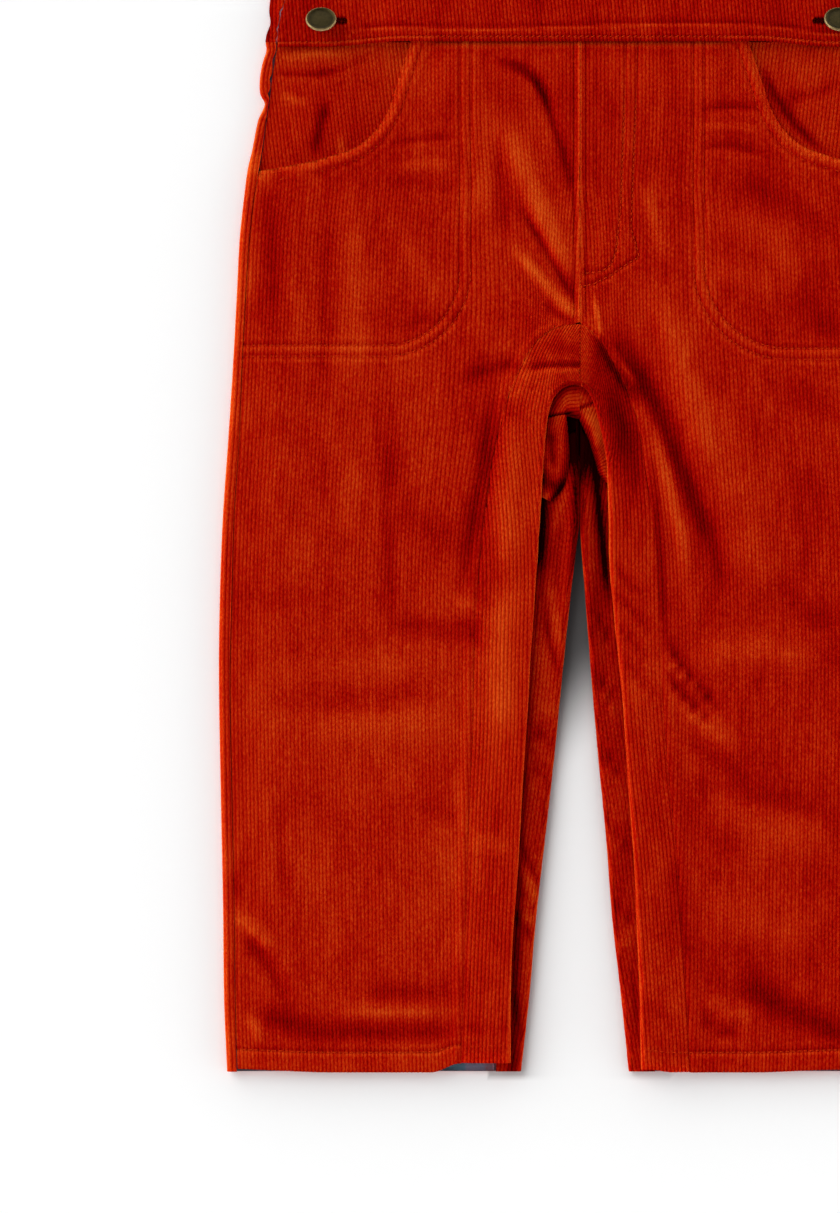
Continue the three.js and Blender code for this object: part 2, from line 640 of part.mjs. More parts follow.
// Elastic casing across the back of the waist: flat below, gathered above.
function casing() {
  const cols = range(CASING_GATHERS * 4);
  const rows = [WAIST_Y + GAP / 2, 503, 508, 514, 519, BAND_TOP];
  const upper = [];
  const lower = [];
  for (const y of rows) {
    const edge = column(SIDES, "y", "outer", y);
    const pinch = 0.35 + 0.65 * Math.sin((Math.PI * (y - WAIST_Y)) / BAND_HEIGHT);
    for (const u of cols) {
      const wave = 0.5 - 0.5 * Math.cos(2 * Math.PI * CASING_GATHERS * u);
      const x = lerp(-edge, edge, u);
      upper.push(new THREE.Vector3(x, y, CLOTH + GATHER_HEIGHT * pinch * wave));
      lower.push(new THREE.Vector3(x, y, 0));
    }
  }
  return solidBetween(upper, lower, rows.length, cols.length);
}

// Bib, plain, with its lower edge in under the waistband.
function bibHeight(x, y) {
  const low = bandHeight(x) - LAYER;
  const swell = BIB_SWELL * Math.sin((y - BAND_TOP) / 30) * Math.cos(x / 34);
  return lerp(low, BIB_Z + swell, smooth(BAND_TOP, BAND_TOP + 34, y));
}

function bib() {
  const rows = [519, 523, 530, 538, 548, 560, 575, 592, 610, 628, 644, 658, BIB_TOP];
  return sheet(
    rows.map((y) =>
      range(14).map((u) => {
        const x = lerp(-1, 1, u) * column(BIB, "y", "half", y);
        return new THREE.Vector3(x, y, bibHeight(x, y));
      }),
    ),
  );
}

function backBib() {
  return sheet(
    [523.3, 532, 545, 560, 575, 592, 610, 626, 642, BACK_BIB_TOP].map((y) =>
      range(6).map((u) => new THREE.Vector3(lerp(-1, 1, u) * column(BACK_BIB, "y", "half", y), y, FLOOR_Z)),
    ),
  );
}

// A strap: sewn on the back bib, over the shoulder fold, and down to its button on the bib.
function strap(side) {
  const low = STRAP_CLOTH / 2;
  const high = STRAP_HIGH_Z;
  const onBack = CLOTH + GAP + low;
  const onBib = STRAP_ON_BIB_Z;
  const radius = (high - low) / 2;
  const foldY = LENGTH - radius - low;
  const path = [
    [BACK_BIB_TOP - 22, onBack],
    [BACK_BIB_TOP - 11, onBack],
    [BACK_BIB_TOP + 1, onBack],
    [BACK_BIB_TOP + 7, lerp(onBack, low, 0.5)],
    [BACK_BIB_TOP + 14, low],
    [BACK_BIB_TOP + 40, low],
    [foldY - 12, low],
    ...range(6).map((u) => {
      const angle = u * Math.PI;
      return [foldY + radius * Math.sin(angle), low + radius * (1 - Math.cos(angle))];
    }),
    [foldY - 14, high],
    [BIB_TOP + 36, high],
    [BIB_TOP + 16, lerp(high, onBib, 0.4)],
    [BIB_TOP + 4, onBib],
    [BIB_TOP - 8, onBib],
    [BIB_TOP - 22, onBib],
    [STRAP_END_Y + 3, onBib],
    [STRAP_END_Y, onBib],
  ];
  const centre = SIGN[side] * STRAP_X;
  const grid = range(4).map((u) =>
    path.map(([y, z], i) => {
      const narrow = i === path.length - 1 ? 0.84 : 1;
      return new THREE.Vector3(centre + lerp(0.5, -0.5, u) * STRAP_WIDTH * narrow, y, z);
    }),
  );
  const solid = toSolid(sheet(grid, { thickness: STRAP_CLOTH }));
  const hole = toSolid(
    slot(centre, STRAP_BUTTON_Y + SLOT_LENGTH / 2 - 3.4, false).translate(0, 0, 10 + onBib - low - 0.2),
  );
  return fromSolid(solid.subtract(hole));
}

// A tack button: a round head with a raised rim on a shank, the head tipped over on it.
function button(x, y, bottom, cloth, tilt) {
  const profile = [
    [0, -BUTTON_RIM / 2],
    [6.6, -BUTTON_RIM / 2],
    [7.3, -BUTTON_RIM / 4],
    [BUTTON_RADIUS, 0.1],
    [7.3, BUTTON_RIM / 2],
    [6.5, BUTTON_RIM / 2],
    [6, BUTTON_RIM / 3],
    [3, BUTTON_RIM / 2.2],
    [0, BUTTON_RIM / 2],
  ].map(([r, z]) => new THREE.Vector2(r, z));
  const head = new THREE.LatheGeometry(profile, 18).rotateX(Math.PI / 2);
  const centreZ = cloth + GAP + BUTTON_RADIUS * Math.sin(tilt) + (BUTTON_RIM / 2) * Math.cos(tilt);
  head.rotateX(-tilt).translate(x, y, centreZ);
  const shankTop = centreZ - 0.3;
  const shank = new THREE.CylinderGeometry(SHANK_RADIUS, SHANK_RADIUS, shankTop - bottom, 10)
    .rotateX(Math.PI / 2)
    .translate(x, y, (shankTop + bottom) / 2);
  return fromSolid(toSolid(head).add(toSolid(shank)));
}

add("front_leg_left", frontLeg("left"), CORDUROY);
add("front_leg_right", frontLeg("right"), CORDUROY);
add("back_leg_left", backLeg("left"), CORDUROY);
add("back_leg_right", backLeg("right"), CORDUROY);
add("back_turn_left", backTurn("left"), CORDUROY);
add("back_turn_right", backTurn("right"), CORDUROY);
add("crotch_roll_left", crotchRoll("left"), CORDUROY);
add("crotch_roll_right", crotchRoll("right"), CORDUROY);
add("waistband_front", waistband(), CORDUROY);
add("waistband_back", casing(), CORDUROY);
add("bib_front", bib(), CORDUROY);
add("bib_back", backBib(), CORDUROY);
for (const side of ["left", "right"]) {
  add(`pocket_facing_${side}`, pocketFacing(side), CORDUROY);
  add(`strap_${side}`, strap(side), CORDUROY);
  add(`hem_lining_${side}`, hemLining(side), FLANNEL);
  add(`side_lining_${side}`, sideLining(side), FLANNEL);
  const s = SIGN[side];
  const onCasing = CLOTH + GATHER_HEIGHT + GAP;
  const bandTop = bandHeight(SIDE_BUTTON.x) + HALF;
  add(
    `side_button_${side}`,
    button(s * SIDE_BUTTON.x, SIDE_BUTTON.y, onCasing, bandTop, BUTTON_TILT),
    BRASS,
  );
  const bibTop = bibHeight(STRAP_X, STRAP_BUTTON_Y) + HALF;
  const strapTop = STRAP_ON_BIB_Z + STRAP_CLOTH / 2;
  add(`strap_button_${side}`, button(s * STRAP_X, STRAP_BUTTON_Y, bibTop + GAP, strapTop, 0), BRASS);
}

group.position.set(0, -LENGTH / 2, 0);

export default group;
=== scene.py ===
import math

import bpy
import numpy as np
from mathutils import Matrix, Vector


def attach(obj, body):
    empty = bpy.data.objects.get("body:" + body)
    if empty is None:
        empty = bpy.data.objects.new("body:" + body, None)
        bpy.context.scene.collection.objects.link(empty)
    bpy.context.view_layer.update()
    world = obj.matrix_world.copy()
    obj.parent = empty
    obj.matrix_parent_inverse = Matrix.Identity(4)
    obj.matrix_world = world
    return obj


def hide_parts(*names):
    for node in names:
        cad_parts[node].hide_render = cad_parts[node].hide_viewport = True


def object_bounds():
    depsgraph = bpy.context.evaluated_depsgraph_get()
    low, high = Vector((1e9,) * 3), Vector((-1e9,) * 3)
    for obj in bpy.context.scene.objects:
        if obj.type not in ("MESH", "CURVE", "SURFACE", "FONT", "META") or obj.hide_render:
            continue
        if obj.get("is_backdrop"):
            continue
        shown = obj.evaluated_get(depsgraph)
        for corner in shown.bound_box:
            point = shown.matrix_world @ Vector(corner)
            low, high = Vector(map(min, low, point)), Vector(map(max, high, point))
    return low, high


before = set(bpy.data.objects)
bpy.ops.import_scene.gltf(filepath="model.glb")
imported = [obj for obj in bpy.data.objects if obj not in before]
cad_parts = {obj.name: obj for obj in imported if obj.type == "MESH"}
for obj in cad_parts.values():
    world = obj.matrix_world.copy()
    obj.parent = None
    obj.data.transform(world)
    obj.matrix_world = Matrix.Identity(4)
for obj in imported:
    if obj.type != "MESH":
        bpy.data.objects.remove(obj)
cad_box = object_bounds()
scene = bpy.context.scene

# The surface, the light and the camera.
# The overalls lie on a white table under a big soft light from the upper left, with white walls all round.
# The camera looks straight down through a long lens, off to one side, so that the picture cuts the garment.
HEM_Y = -0.372  # the hems' line in the frame, from which the heights below are counted
PICTURE_SIZE = (0.4066, 0.5871)
PICTURE_CENTRE = (-0.0774, 0.2253 + HEM_Y)
CAMERA_HEIGHT = 2.4
CLOTH_LEVEL = 0.007
SENSOR = 36.0

camera_data = bpy.data.cameras.new("camera")
camera_data.sensor_width = SENSOR
camera_data.lens = SENSOR * (CAMERA_HEIGHT - CLOTH_LEVEL) / PICTURE_SIZE[1]
camera_data.clip_end = 20
camera = bpy.data.objects.new("camera", camera_data)
camera.location = (*PICTURE_CENTRE, CAMERA_HEIGHT)
scene.collection.objects.link(camera)
scene.camera = camera

world = bpy.data.worlds.new("white_room")
scene.world = world
world.use_nodes = True
sky = world.node_tree
height = sky.nodes.new("ShaderNodeSeparateXYZ")
sky.links.new(sky.nodes.new("ShaderNodeTexCoord").outputs["Generated"], height.inputs[0])
glow = sky.nodes.new("ShaderNodeMapRange")
sky.links.new(height.outputs["Z"], glow.inputs["Value"])
for socket, value in (("From Min", 0.0), ("From Max", 0.45), ("To Min", 5.6), ("To Max", 0.40)):
    glow.inputs[socket].default_value = value
sky.links.new(glow.outputs[0], sky.nodes["Background"].inputs["Strength"])
sky.nodes["Background"].inputs["Color"].default_value = (1.0, 1.0, 1.0, 1.0)

sun_data = bpy.data.lights.new("window", "SUN")
sun_data.angle = math.radians(55)
sun_data.energy = 2.1
sun = bpy.data.objects.new("window", sun_data)
sun.rotation_euler = Vector((0.80, -0.47, -0.58)).to_track_quat("-Z", "Y").to_euler()
scene.collection.objects.link(sun)

scene.view_settings.view_transform = "Standard"

# The photo's white surface is left dark grey in the narrow gap under the crotch, so a painted shade is put on the paper
# there: deepest towards the crotch, fading down the gap, and darker along each edge of the gap.
TABLE_HALF = 4.0
TABLE_WHITE = 0.92
DEEP_SHADE = 0.12
GAP_HALF = (0.045, 0.0015)  # how far the shaded patch reaches to each side, and its grid


def make_table():
    fine_x = np.arange(-GAP_HALF[0], GAP_HALF[0], GAP_HALF[1])
    fine_y = np.arange(HEM_Y - 0.02, HEM_Y + 0.34, 2 * GAP_HALF[1])
    xs = np.r_[-TABLE_HALF, fine_x[0] - 0.001, fine_x, fine_x[-1] + 0.003, TABLE_HALF]
    ys = np.r_[-TABLE_HALF, fine_y[0] - 0.001, fine_y, fine_y[-1] + 0.001, TABLE_HALF]
    x, y = (grid.reshape(-1) for grid in np.meshgrid(xs, ys))
    corner = (np.arange(len(ys) - 1)[:, None] * len(xs) + np.arange(len(xs) - 1)[None, :]).reshape(-1)
    mesh = bpy.data.meshes.new("table")
    mesh.from_pydata(np.stack([x, y, np.full(x.shape, -0.0001)], -1).tolist(), [],
                     np.stack([corner, corner + 1, corner + len(xs) + 1, corner + len(xs)], -1).tolist())
    up, out = (y - HEM_Y) * 1000, x * 1000
    left = -27.5 + 0.105 * up  # the left edge of the gap, nearly straight
    t = np.clip((208 + out - up) / 60, 0, 1)
    shade = DEEP_SHADE + (1 - DEEP_SHADE) * t * t * (3 - 2 * t)
    # painted contact shadow along the left and the right edge of the gap
    shade *= 1 - 0.42 * np.exp(-np.clip(out - left, 0, None) / 4.5)
    shade *= 1 - 0.2 * np.exp(-np.clip(26 - 0.11 * up - out, 0, None) / 5.0)
    inside = (np.abs(x) < GAP_HALF[0]) & (up > -4) & (up < 338)
    mesh.attributes.new("shade", "FLOAT", "POINT").data.foreach_set("value", np.where(inside, shade, 1.0))
    return mesh


table = bpy.data.objects.new("table", make_table())
scene.collection.objects.link(table)
paper = bpy.data.materials.new("white_table")
paper.use_nodes = True
shaded = paper.node_tree.nodes.new("ShaderNodeAttribute")
shaded.attribute_name = "shade"
grey = paper.node_tree.nodes.new("ShaderNodeMapRange")
grey.inputs["To Max"].default_value = TABLE_WHITE
paper.node_tree.links.new(shaded.outputs["Fac"], grey.inputs["Value"])
paper.node_tree.links.new(grey.outputs[0], paper.node_tree.nodes["Principled BSDF"].inputs["Base Color"])
paper.node_tree.nodes["Principled BSDF"].inputs["Roughness"].default_value = 0.9
table.data.materials.append(paper)
table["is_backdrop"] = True

# The corduroy: fine cotton pile in fourteen cords to the inch, with a flannel lining behind it.
# The pile stands up in rounded cords with narrow bare valleys, and shows lighter or darker as it is brushed; the same
# tone also carries painted shade and painted highlight, darker in creases and hollows and lighter on ridges and edges.
# Every panel is a thin shell whose points follow the cords, so that each cord is a real ridge.
PITCH = 1.815
CORD_POINTS = 4
PILE = 0.34
CLOTH = 1.8
HALF = CLOTH / 2
GAP = 0.3


def rows_of(names, *rows):
    return np.array(list(rows), dtype=[(name, float) for name in names.split()])


def curve(rows, key_name, name, at):
    x, v = rows[key_name], rows[name]
    if x[-1] < x[0]:
        x, v = x[::-1], v[::-1]
    at = np.asarray(at, float)
    i = np.clip(np.searchsorted(x, at, side="right") - 1, 0, len(x) - 2)
    before, after = np.maximum(i - 1, 0), np.minimum(i + 2, len(x) - 1)
    slope_a = (v[i + 1] - v[before]) / (x[i + 1] - x[before])
    slope_b = (v[after] - v[i]) / (x[after] - x[i])
    span = x[i + 1] - x[i]
    t = np.clip((at - x[i]) / span, 0, 1)
    t2, t3 = t * t, t * t * t
    return (
        v[i] * (2 * t3 - 3 * t2 + 1)
        + v[i + 1] * (3 * t2 - 2 * t3)
        + slope_a * span * (t3 - 2 * t2 + t)
        + slope_b * span * (t3 - t2)
    )


def smooth(low, high, value):
    t = np.clip((np.asarray(value, float) - low) / (high - low), 0, 1)
    return t * t * (3 - 2 * t)


def mix(a, b, t):
    return a + (b - a) * t


def folds_at(table, name, x, y):
    total = np.zeros(np.broadcast(x, y).shape)
    for fold in table:
        dx, dy = fold["x1"] - fold["x0"], fold["y1"] - fold["y0"]
        long = math.hypot(dx, dy)
        t = ((x - fold["x0"]) * dx + (y - fold["y0"]) * dy) / long ** 2
        bowed = fold["bow"] * 4 * t * (1 - t)
        off = ((x - fold["x0"]) * dy - (y - fold["y0"]) * dx) / long - bowed
        inside = (t > 0) & (t < 1)
        along = smooth(0, 0.3, t) * (1 - smooth(0.7, 1, t))
        total += np.where(inside, fold[name] * np.exp(-((off / fold["width"]) ** 2)) * along, 0)
    return total


def cord_height(across):
    phase = np.mod(across / PITCH, 1)
    return 1 - np.abs(2 * phase - 1) ** 2.2


def distinct(points):
    count = points.shape[1]
    after = np.full(points.shape[:2], count - 1)
    for j in range(count - 2, -1, -1):
        same = np.linalg.norm(points[:, j + 1] - points[:, j], axis=1) < 1e-3
        after[:, j] = np.where(same, after[:, j + 1], j + 1)
    before = np.zeros(points.shape[:2], int)
    for j in range(1, count):
        same = np.linalg.norm(points[:, j - 1] - points[:, j], axis=1) < 1e-3
        before[:, j] = np.where(same, before[:, j - 1], j - 1)
    return before, after


def outward_normals(points):
    before, after = distinct(points)
    row = np.arange(points.shape[0])[:, None]
    across = points[row, after] - points[row, before]
    turned = points.transpose(1, 0, 2)
    before, after = distinct(turned)
    column = np.arange(points.shape[1])[:, None]
    along = (turned[column, after] - turned[column, before]).transpose(1, 0, 2)
    normal = np.cross(across, along)
    length = np.linalg.norm(normal, axis=2, keepdims=True)
    flat = np.zeros_like(normal)
    flat[..., 2] = 1
    return np.where(length > 1e-9, normal / np.maximum(length, 1e-9), flat)


def shell(name, outer, inner, keep, across, along, nap_and_shade, materials, flip, bare=None):
    """A closed shell: outer holds rows x columns of points, inner the same rows at the columns in keep.
    Where bare is true, the inner side has the outer side's material."""
    rows, cols = outer.shape[:2]
    outer_id = np.arange(rows * cols).reshape(rows, cols)
    inner_id = rows * cols + np.arange(rows * len(keep)).reshape(rows, len(keep))
    spots = np.round(np.concatenate([outer.reshape(-1, 3), inner.reshape(-1, 3)]), 3)
    layer = np.r_[np.zeros(rows * cols), np.ones(rows * len(keep))]
    _, first, same = np.unique(np.c_[spots, layer], axis=0, return_index=True, return_inverse=True)
    same = same.reshape(-1)

    def quads(grid, turn):
        a, b, c, d = grid[:-1, :-1], grid[:-1, 1:], grid[1:, 1:], grid[1:, :-1]
        tri = np.concatenate([np.stack([a, b, c], -1).reshape(-1, 3), np.stack([a, c, d], -1).reshape(-1, 3)])
        return tri[:, ::-1] if turn else tri

    walls = []
    for row, turn in ((0, True), (rows - 1, False)):
        part = []
        for k in range(len(keep) - 1):
            fine = outer_id[row, keep[k]:keep[k + 1] + 1]
            a, b = inner_id[row, k], inner_id[row, k + 1]
            part += [(fine[m], fine[m + 1], a) for m in range(len(fine) - 1)]
            part.append((fine[-1], b, a))
        part = np.array(part)
        walls.append(part[:, ::-1] if turn else part)
    for column, side, turn in ((0, 0, False), (cols - 1, -1, True)):
        o, n = outer_id[:, column], inner_id[:, side]
        part = np.concatenate([np.stack([o[:-1], o[1:], n[1:]], -1), np.stack([o[:-1], n[1:], n[:-1]], -1)])
        walls.append(part[:, ::-1] if turn else part)
    walls = np.concatenate(walls)
    # walls so far face outwards for a grid whose outward normal is across x along
    back = quads(inner_id, True)
    back_slot = np.ones(len(back), int)
    if bare is not None:
        outside = np.r_[np.zeros(rows * cols, bool), bare[:, keep].reshape(-1)]
        back_slot[outside[back].any(axis=1)] = 0
    groups = [(quads(outer_id, False), 0, True), (back, back_slot, True), (walls[:, ::-1], 0, False)]
    faces, slots, soft = [], [], []
    for tri, slot, is_soft in groups:
        tri, slot = same[tri], np.broadcast_to(slot, len(tri))
        good = (tri[:, 0] != tri[:, 1]) & (tri[:, 1] != tri[:, 2]) & (tri[:, 0] != tri[:, 2])
        tri = tri[good]
        faces.append(tri)
        slots.append(slot[good])
        soft.append(np.full(len(tri), is_soft))
    faces, slots, soft = np.concatenate(faces), np.concatenate(slots), np.concatenate(soft)
    if flip:
        faces = faces[:, ::-1]
    points = np.concatenate([outer.reshape(-1, 3), inner.reshape(-1, 3)])[first] / 1000
    points[:, 1] += HEM_Y
    used, faces = np.unique(faces, return_inverse=True)
    faces = faces.reshape(-1, 3)
    points = points[used]
    uv = np.stack([
        np.concatenate([across.reshape(-1), across[:, keep].reshape(-1)]) / PITCH,
        np.concatenate([along.reshape(-1), along[:, keep].reshape(-1)]) / PITCH,
    ], -1)[first][used]
    tone = np.concatenate([nap_and_shade.reshape(-1), nap_and_shade[:, keep].reshape(-1)])[first][used]
    mesh = bpy.data.meshes.new(name)
    mesh.vertices.add(len(points))
    mesh.vertices.foreach_set("co", points.reshape(-1))
    mesh.loops.add(faces.size)
    mesh.loops.foreach_set("vertex_index", faces.reshape(-1))
    mesh.polygons.add(len(faces))
    mesh.polygons.foreach_set("loop_start", np.arange(0, faces.size, 3))
    mesh.polygons.foreach_set("material_index", slots)
    mesh.update(calc_edges=True)
    mesh.validate()
    layer_uv = mesh.uv_layers.new(name="cloth")
    corner = np.empty(len(mesh.loops), int)
    mesh.loops.foreach_get("vertex_index", corner)
    layer_uv.data.foreach_set("uv", uv[corner].reshape(-1))
    mesh.attributes.new("nap_and_shade", "FLOAT", "POINT").data.foreach_set("value", tone)
    mesh.polygons.foreach_set("use_smooth", soft[:len(mesh.polygons)])
    for material in materials:
        mesh.materials.append(material)
    piece = bpy.data.objects.new(name, mesh)
    scene.collection.objects.link(piece)
    return piece


def cloth(name, middle, across, nap_and_shade=None, thickness=CLOTH, pile=PILE, materials=None, flip=False, bare=None,
          even=1.0):
    """A panel through its middle points, cords outside; across is the distance over the cords, in mm."""
    normal = outward_normals(middle) * (-1 if flip else 1)
    lift = thickness / 2 - pile * even * (1 - cord_height(across))
    outer = middle + normal * lift[..., None]
    keep = np.unique(np.r_[np.arange(0, middle.shape[1], CORD_POINTS), middle.shape[1] - 1])
    inner = (middle - normal * thickness / 2)[:, keep]
    if nap_and_shade is None:
        nap_and_shade = np.full(middle.shape[:2], 0.5)
    # painted light by facing: lighter where the cloth tilts towards the top of the frame, where the light is, darker
    # where it tilts away, and lighter on steep sides as a painted sheen
    nap_and_shade = nap_and_shade + (PAINTED_SLOPE_SHADE * normal[..., 1] + PAINTED_RIM_SHEEN * (1 - normal[..., 2])) * (normal[..., 2] > 0)
    return shell(name, outer, inner, keep, across, middle[..., 1], nap_and_shade, materials or [corduroy, flannel], flip, bare)


def node(tree, kind, **settings):
    made = tree.nodes.new(kind)
    for name, value in settings.items():
        if hasattr(made, name):
            setattr(made, name, value)
        else:
            made.inputs[int(name[1:]) if name[0] == "i" and name[1:].isdigit() else name].default_value = value
    return made


def math_node(tree, operation, a, b=None, c=None, clamp=False):
    made = tree.nodes.new("ShaderNodeMath")
    made.operation = operation
    made.use_clamp = clamp
    for socket, value in zip(made.inputs, (a, b, c)):
        if value is None:
            continue
        if isinstance(value, (int, float)):
            socket.default_value = value
        else:
            tree.links.new(value, socket)
    return made.outputs[0]


def noise(tree, coordinates, scale, size=1.0, detail=2.0):
    mapping = tree.nodes.new("ShaderNodeMapping")
    mapping.inputs["Scale"].default_value = scale
    tree.links.new(coordinates, mapping.inputs["Vector"])
    made = tree.nodes.new("ShaderNodeTexNoise")
    made.inputs["Scale"].default_value = size
    made.inputs["Detail"].default_value = detail
    tree.links.new(mapping.outputs[0], made.inputs["Vector"])
    return made.outputs["Fac"]


def ramp(tree, factor, stops):
    made = tree.nodes.new("ShaderNodeValToRGB")
    tree.links.new(factor, made.inputs[0])
    elements = made.color_ramp.elements
    while len(elements) < len(stops):
        elements.new(0.5)
    for element, (place, colour) in zip(elements, stops):
        element.position = place
        element.color = (*colour, 1)
    return made.outputs[0]


CORD_TONES = (
    (0.0, (0.010, 0.0001, 0.0001)),
    (0.25, (0.150, 0.0003, 0.0002)),
    (0.42, (0.300, 0.0018, 0.0005)),
    (0.5, (0.370, 0.0074, 0.0010)),
    (0.58, (0.435, 0.0200, 0.0018)),
    (0.7, (0.530, 0.052, 0.0045)),
    (0.85, (0.650, 0.110, 0.0095)),
    (1.0, (0.780, 0.180, 0.018)),
)
PAINTED_SLOPE_SHADE = 0.40
PAINTED_RIM_SHEEN = 0.28


def make_corduroy(name, tones):
    material = bpy.data.materials.new(name)
    material.use_nodes = True
    tree = material.node_tree
    shader = tree.nodes["Principled BSDF"]
    place = tree.nodes.new("ShaderNodeTexCoord")
    uv = tree.nodes.new("ShaderNodeSeparateXYZ")
    tree.links.new(place.outputs["UV"], uv.inputs[0])
    wander = noise(tree, place.outputs["Object"], (260, 110, 260), detail=1)
    # The bare valleys between the cords are darker; the dark is set a little past each valley's middle, a painted
    # shadow on one side of every cord.
    phase = math_node(tree, "FRACT", math_node(tree, "MULTIPLY_ADD", wander, 0.16, uv.outputs["X"]))
    off = math_node(tree, "ABSOLUTE", math_node(tree, "SUBTRACT", phase, 0.58))
    bare = math_node(tree, "MULTIPLY", math_node(tree, "SUBTRACT", off, 0.2, clamp=True), 3.4)
    clouds = noise(tree, place.outputs["Object"], (55, 30, 55), detail=4)
    streaks = noise(tree, place.outputs["Object"], (300, 45, 300), detail=2)
    fibres = noise(tree, place.outputs["Object"], (1500, 700, 1500), detail=3)
    nap_and_shade = tree.nodes.new("ShaderNodeAttribute")
    nap_and_shade.attribute_name = "nap_and_shade"
    tone = nap_and_shade.outputs["Fac"]
    for pattern, amount in ((clouds, 0.24), (streaks, 0.17), (fibres, 0.46)):
        tone = math_node(tree, "MULTIPLY_ADD", math_node(tree, "SUBTRACT", pattern, 0.5), amount, tone)
    tone = math_node(tree, "MULTIPLY_ADD", bare, -0.14, tone)
    tree.links.new(ramp(tree, tone, tones), shader.inputs["Base Color"])
    shader.inputs["Roughness"].default_value = 0.88
    shader.inputs["Specular IOR Level"].default_value = 0.0
    # the sheen's weight follows the tone with its painted shade, so it dies away in the painted hollows and rises on
    # the painted highlights
    tree.links.new(math_node(tree, "MULTIPLY", nap_and_shade.outputs["Fac"], 0.6, clamp=True), shader.inputs["Sheen Weight"])
    shader.inputs["Sheen Roughness"].default_value = 0.35
    shader.inputs["Sheen Tint"].default_value = (1.0, 0.09, 0.02, 1)
    bump = tree.nodes.new("ShaderNodeBump")
    bump.inputs["Strength"].default_value = 0.3
    bump.inputs["Distance"].default_value = 0.00025
    tree.links.new(fibres, bump.inputs["Height"])
    tree.links.new(bump.outputs[0], shader.inputs["Normal"])
    return material


corduroy = make_corduroy("corduroy", CORD_TONES)

# The lining: brushed cotton flannel with a wide woven check of blue, mauve and red.
CHECK = 34.0


def make_flannel():
    material = bpy.data.materials.new("flannel")
    material.use_nodes = True
    tree = material.node_tree
    shader = tree.nodes["Principled BSDF"]
    place = tree.nodes.new("ShaderNodeTexCoord")
    axes = tree.nodes.new("ShaderNodeSeparateXYZ")
    tree.links.new(place.outputs["Object"], axes.inputs[0])
    stops = (
        (0.0, (0.06, 0.13, 0.18)),
        (0.34, (0.06, 0.13, 0.18)),
        (0.40, (0.24, 0.13, 0.20)),
        (0.62, (0.24, 0.13, 0.20)),
        (0.68, (0.30, 0.035, 0.04)),
        (0.9, (0.30, 0.035, 0.04)),
        (0.94, (0.06, 0.13, 0.18)),
    )
    bands = []
    for axis in ("X", "Y"):
        turn = math_node(tree, "FRACT", math_node(tree, "MULTIPLY", axes.outputs[axis], 1000 / CHECK))
        bands.append(ramp(tree, turn, stops))
    both = tree.nodes.new("ShaderNodeMix")
    both.data_type = "RGBA"
    tree.links.new(bands[0], both.inputs["A"])
    tree.links.new(bands[1], both.inputs["B"])
    twill = noise(tree, place.outputs["Object"], (1400, 1400, 1400), detail=2)
    tree.links.new(twill, both.inputs["Factor"])
    tree.links.new(both.outputs["Result"], shader.inputs["Base Color"])
    shader.inputs["Roughness"].default_value = 0.95
    shader.inputs["Sheen Weight"].default_value = 0.2
    bump = tree.nodes.new("ShaderNodeBump")
    bump.inputs["Strength"].default_value = 0.5
    bump.inputs["Distance"].default_value = 0.0003
    tree.links.new(twill, bump.inputs["Height"])
    tree.links.new(bump.outputs[0], shader.inputs["Normal"])
    return material


flannel = make_flannel()

# The back legs: each wraps round the outside of the leg from the side seam, lies flat on the table, and is
# folded back along the gap between the legs, where a strip of it shows. The cords outside the leg face down
# on the table. The centre-back seam joins the two above the gap.
SIDES = rows_of(
    "y outer seam",
    (0, 171, 166), (35, 172.5, 167), (80, 173, 167.5), (130, 174, 168.5), (190, 175, 169.5),
    (232, 174.5, 168.5), (270, 173, 167.5), (306, 170.5, 165), (345, 168, 163.5), (383, 166, 161.5),
    (403, 165, 160), (422, 163, 158), (436, 161.2, 155.5), (446, 159, 153.8), (461, 156, 151.8),
    (469, 152.8, 150.6), (474, 155, 150), (481, 155.2, 149.2), (489, 153.8, 148), (495, 152, 147),
    (499, 152.4, 146.6), (503, 151.8, 146.4), (508, 150, 146), (514, 150.6, 144.5), (523, 149.6, 141.5),
)
TURNS = {
    "left": rows_of(
        "seam_x seam_y fold_x fold_y",
        (0, 362, 0, 332), (-6, 361.5, -3, 332.4), (-12.5, 360, -6, 332), (-21.5, 353, -9.5, 330),
        (-28.5, 341, -13, 325.5), (-33, 331, -15, 319), (-37, 318, -16.5, 309), (-42, 297, -17.6, 294),
        (-45.5, 272, -19, 271), (-49, 240, -21, 240), (-51, 204, -23.5, 204), (-52, 165, -25.8, 165),
        (-53.5, 130, -28, 130), (-54.5, 93, -30.3, 93), (-56, 50, -33, 50), (-57.5, 0, -33.5, 0),
    ),
    "right": rows_of(
        "seam_x seam_y fold_x fold_y",
        (0, 362, 0, 332), (5, 359, 2.5, 331), (10.5, 353, 5, 328), (16, 344, 7.5, 322),
        (21, 334, 9.5, 314), (27.5, 316, 11.8, 303), (31, 295, 13.2, 290), (35, 268, 13.8, 268),
        (37, 248, 14, 248), (38.5, 219, 16.5, 219), (39.5, 185, 20, 185), (42.5, 146, 22.7, 146),
        (46.5, 107, 25.6, 107), (49, 73, 27.3, 73), (51.5, 36, 28.7, 36), (53.5, 0, 29.5, 0),
    ),
}
STRIPS = {
    "left": rows_of(
        "y edge",
        (0, -28.3), (35, -24.4), (74, -21), (112, -16.7), (151, -12.3), (190, -8.5), (228, -4.6),
        (256, -1.3), (266, -0.15), (300, -0.05), (499, -0.05),
    ),
    "right": rows_of(
        "y edge",
        (0, 23.7), (35, 20.1), (74, 15.7), (112, 12.8), (151, 9), (190, 5.6), (228, 2.7),
        (256, 0.5), (266, 0.1), (300, 0.05), (499, 0.05),
    ),
}
SIGN = {"left": -1, "right": 1}
CROTCH_Y = 362
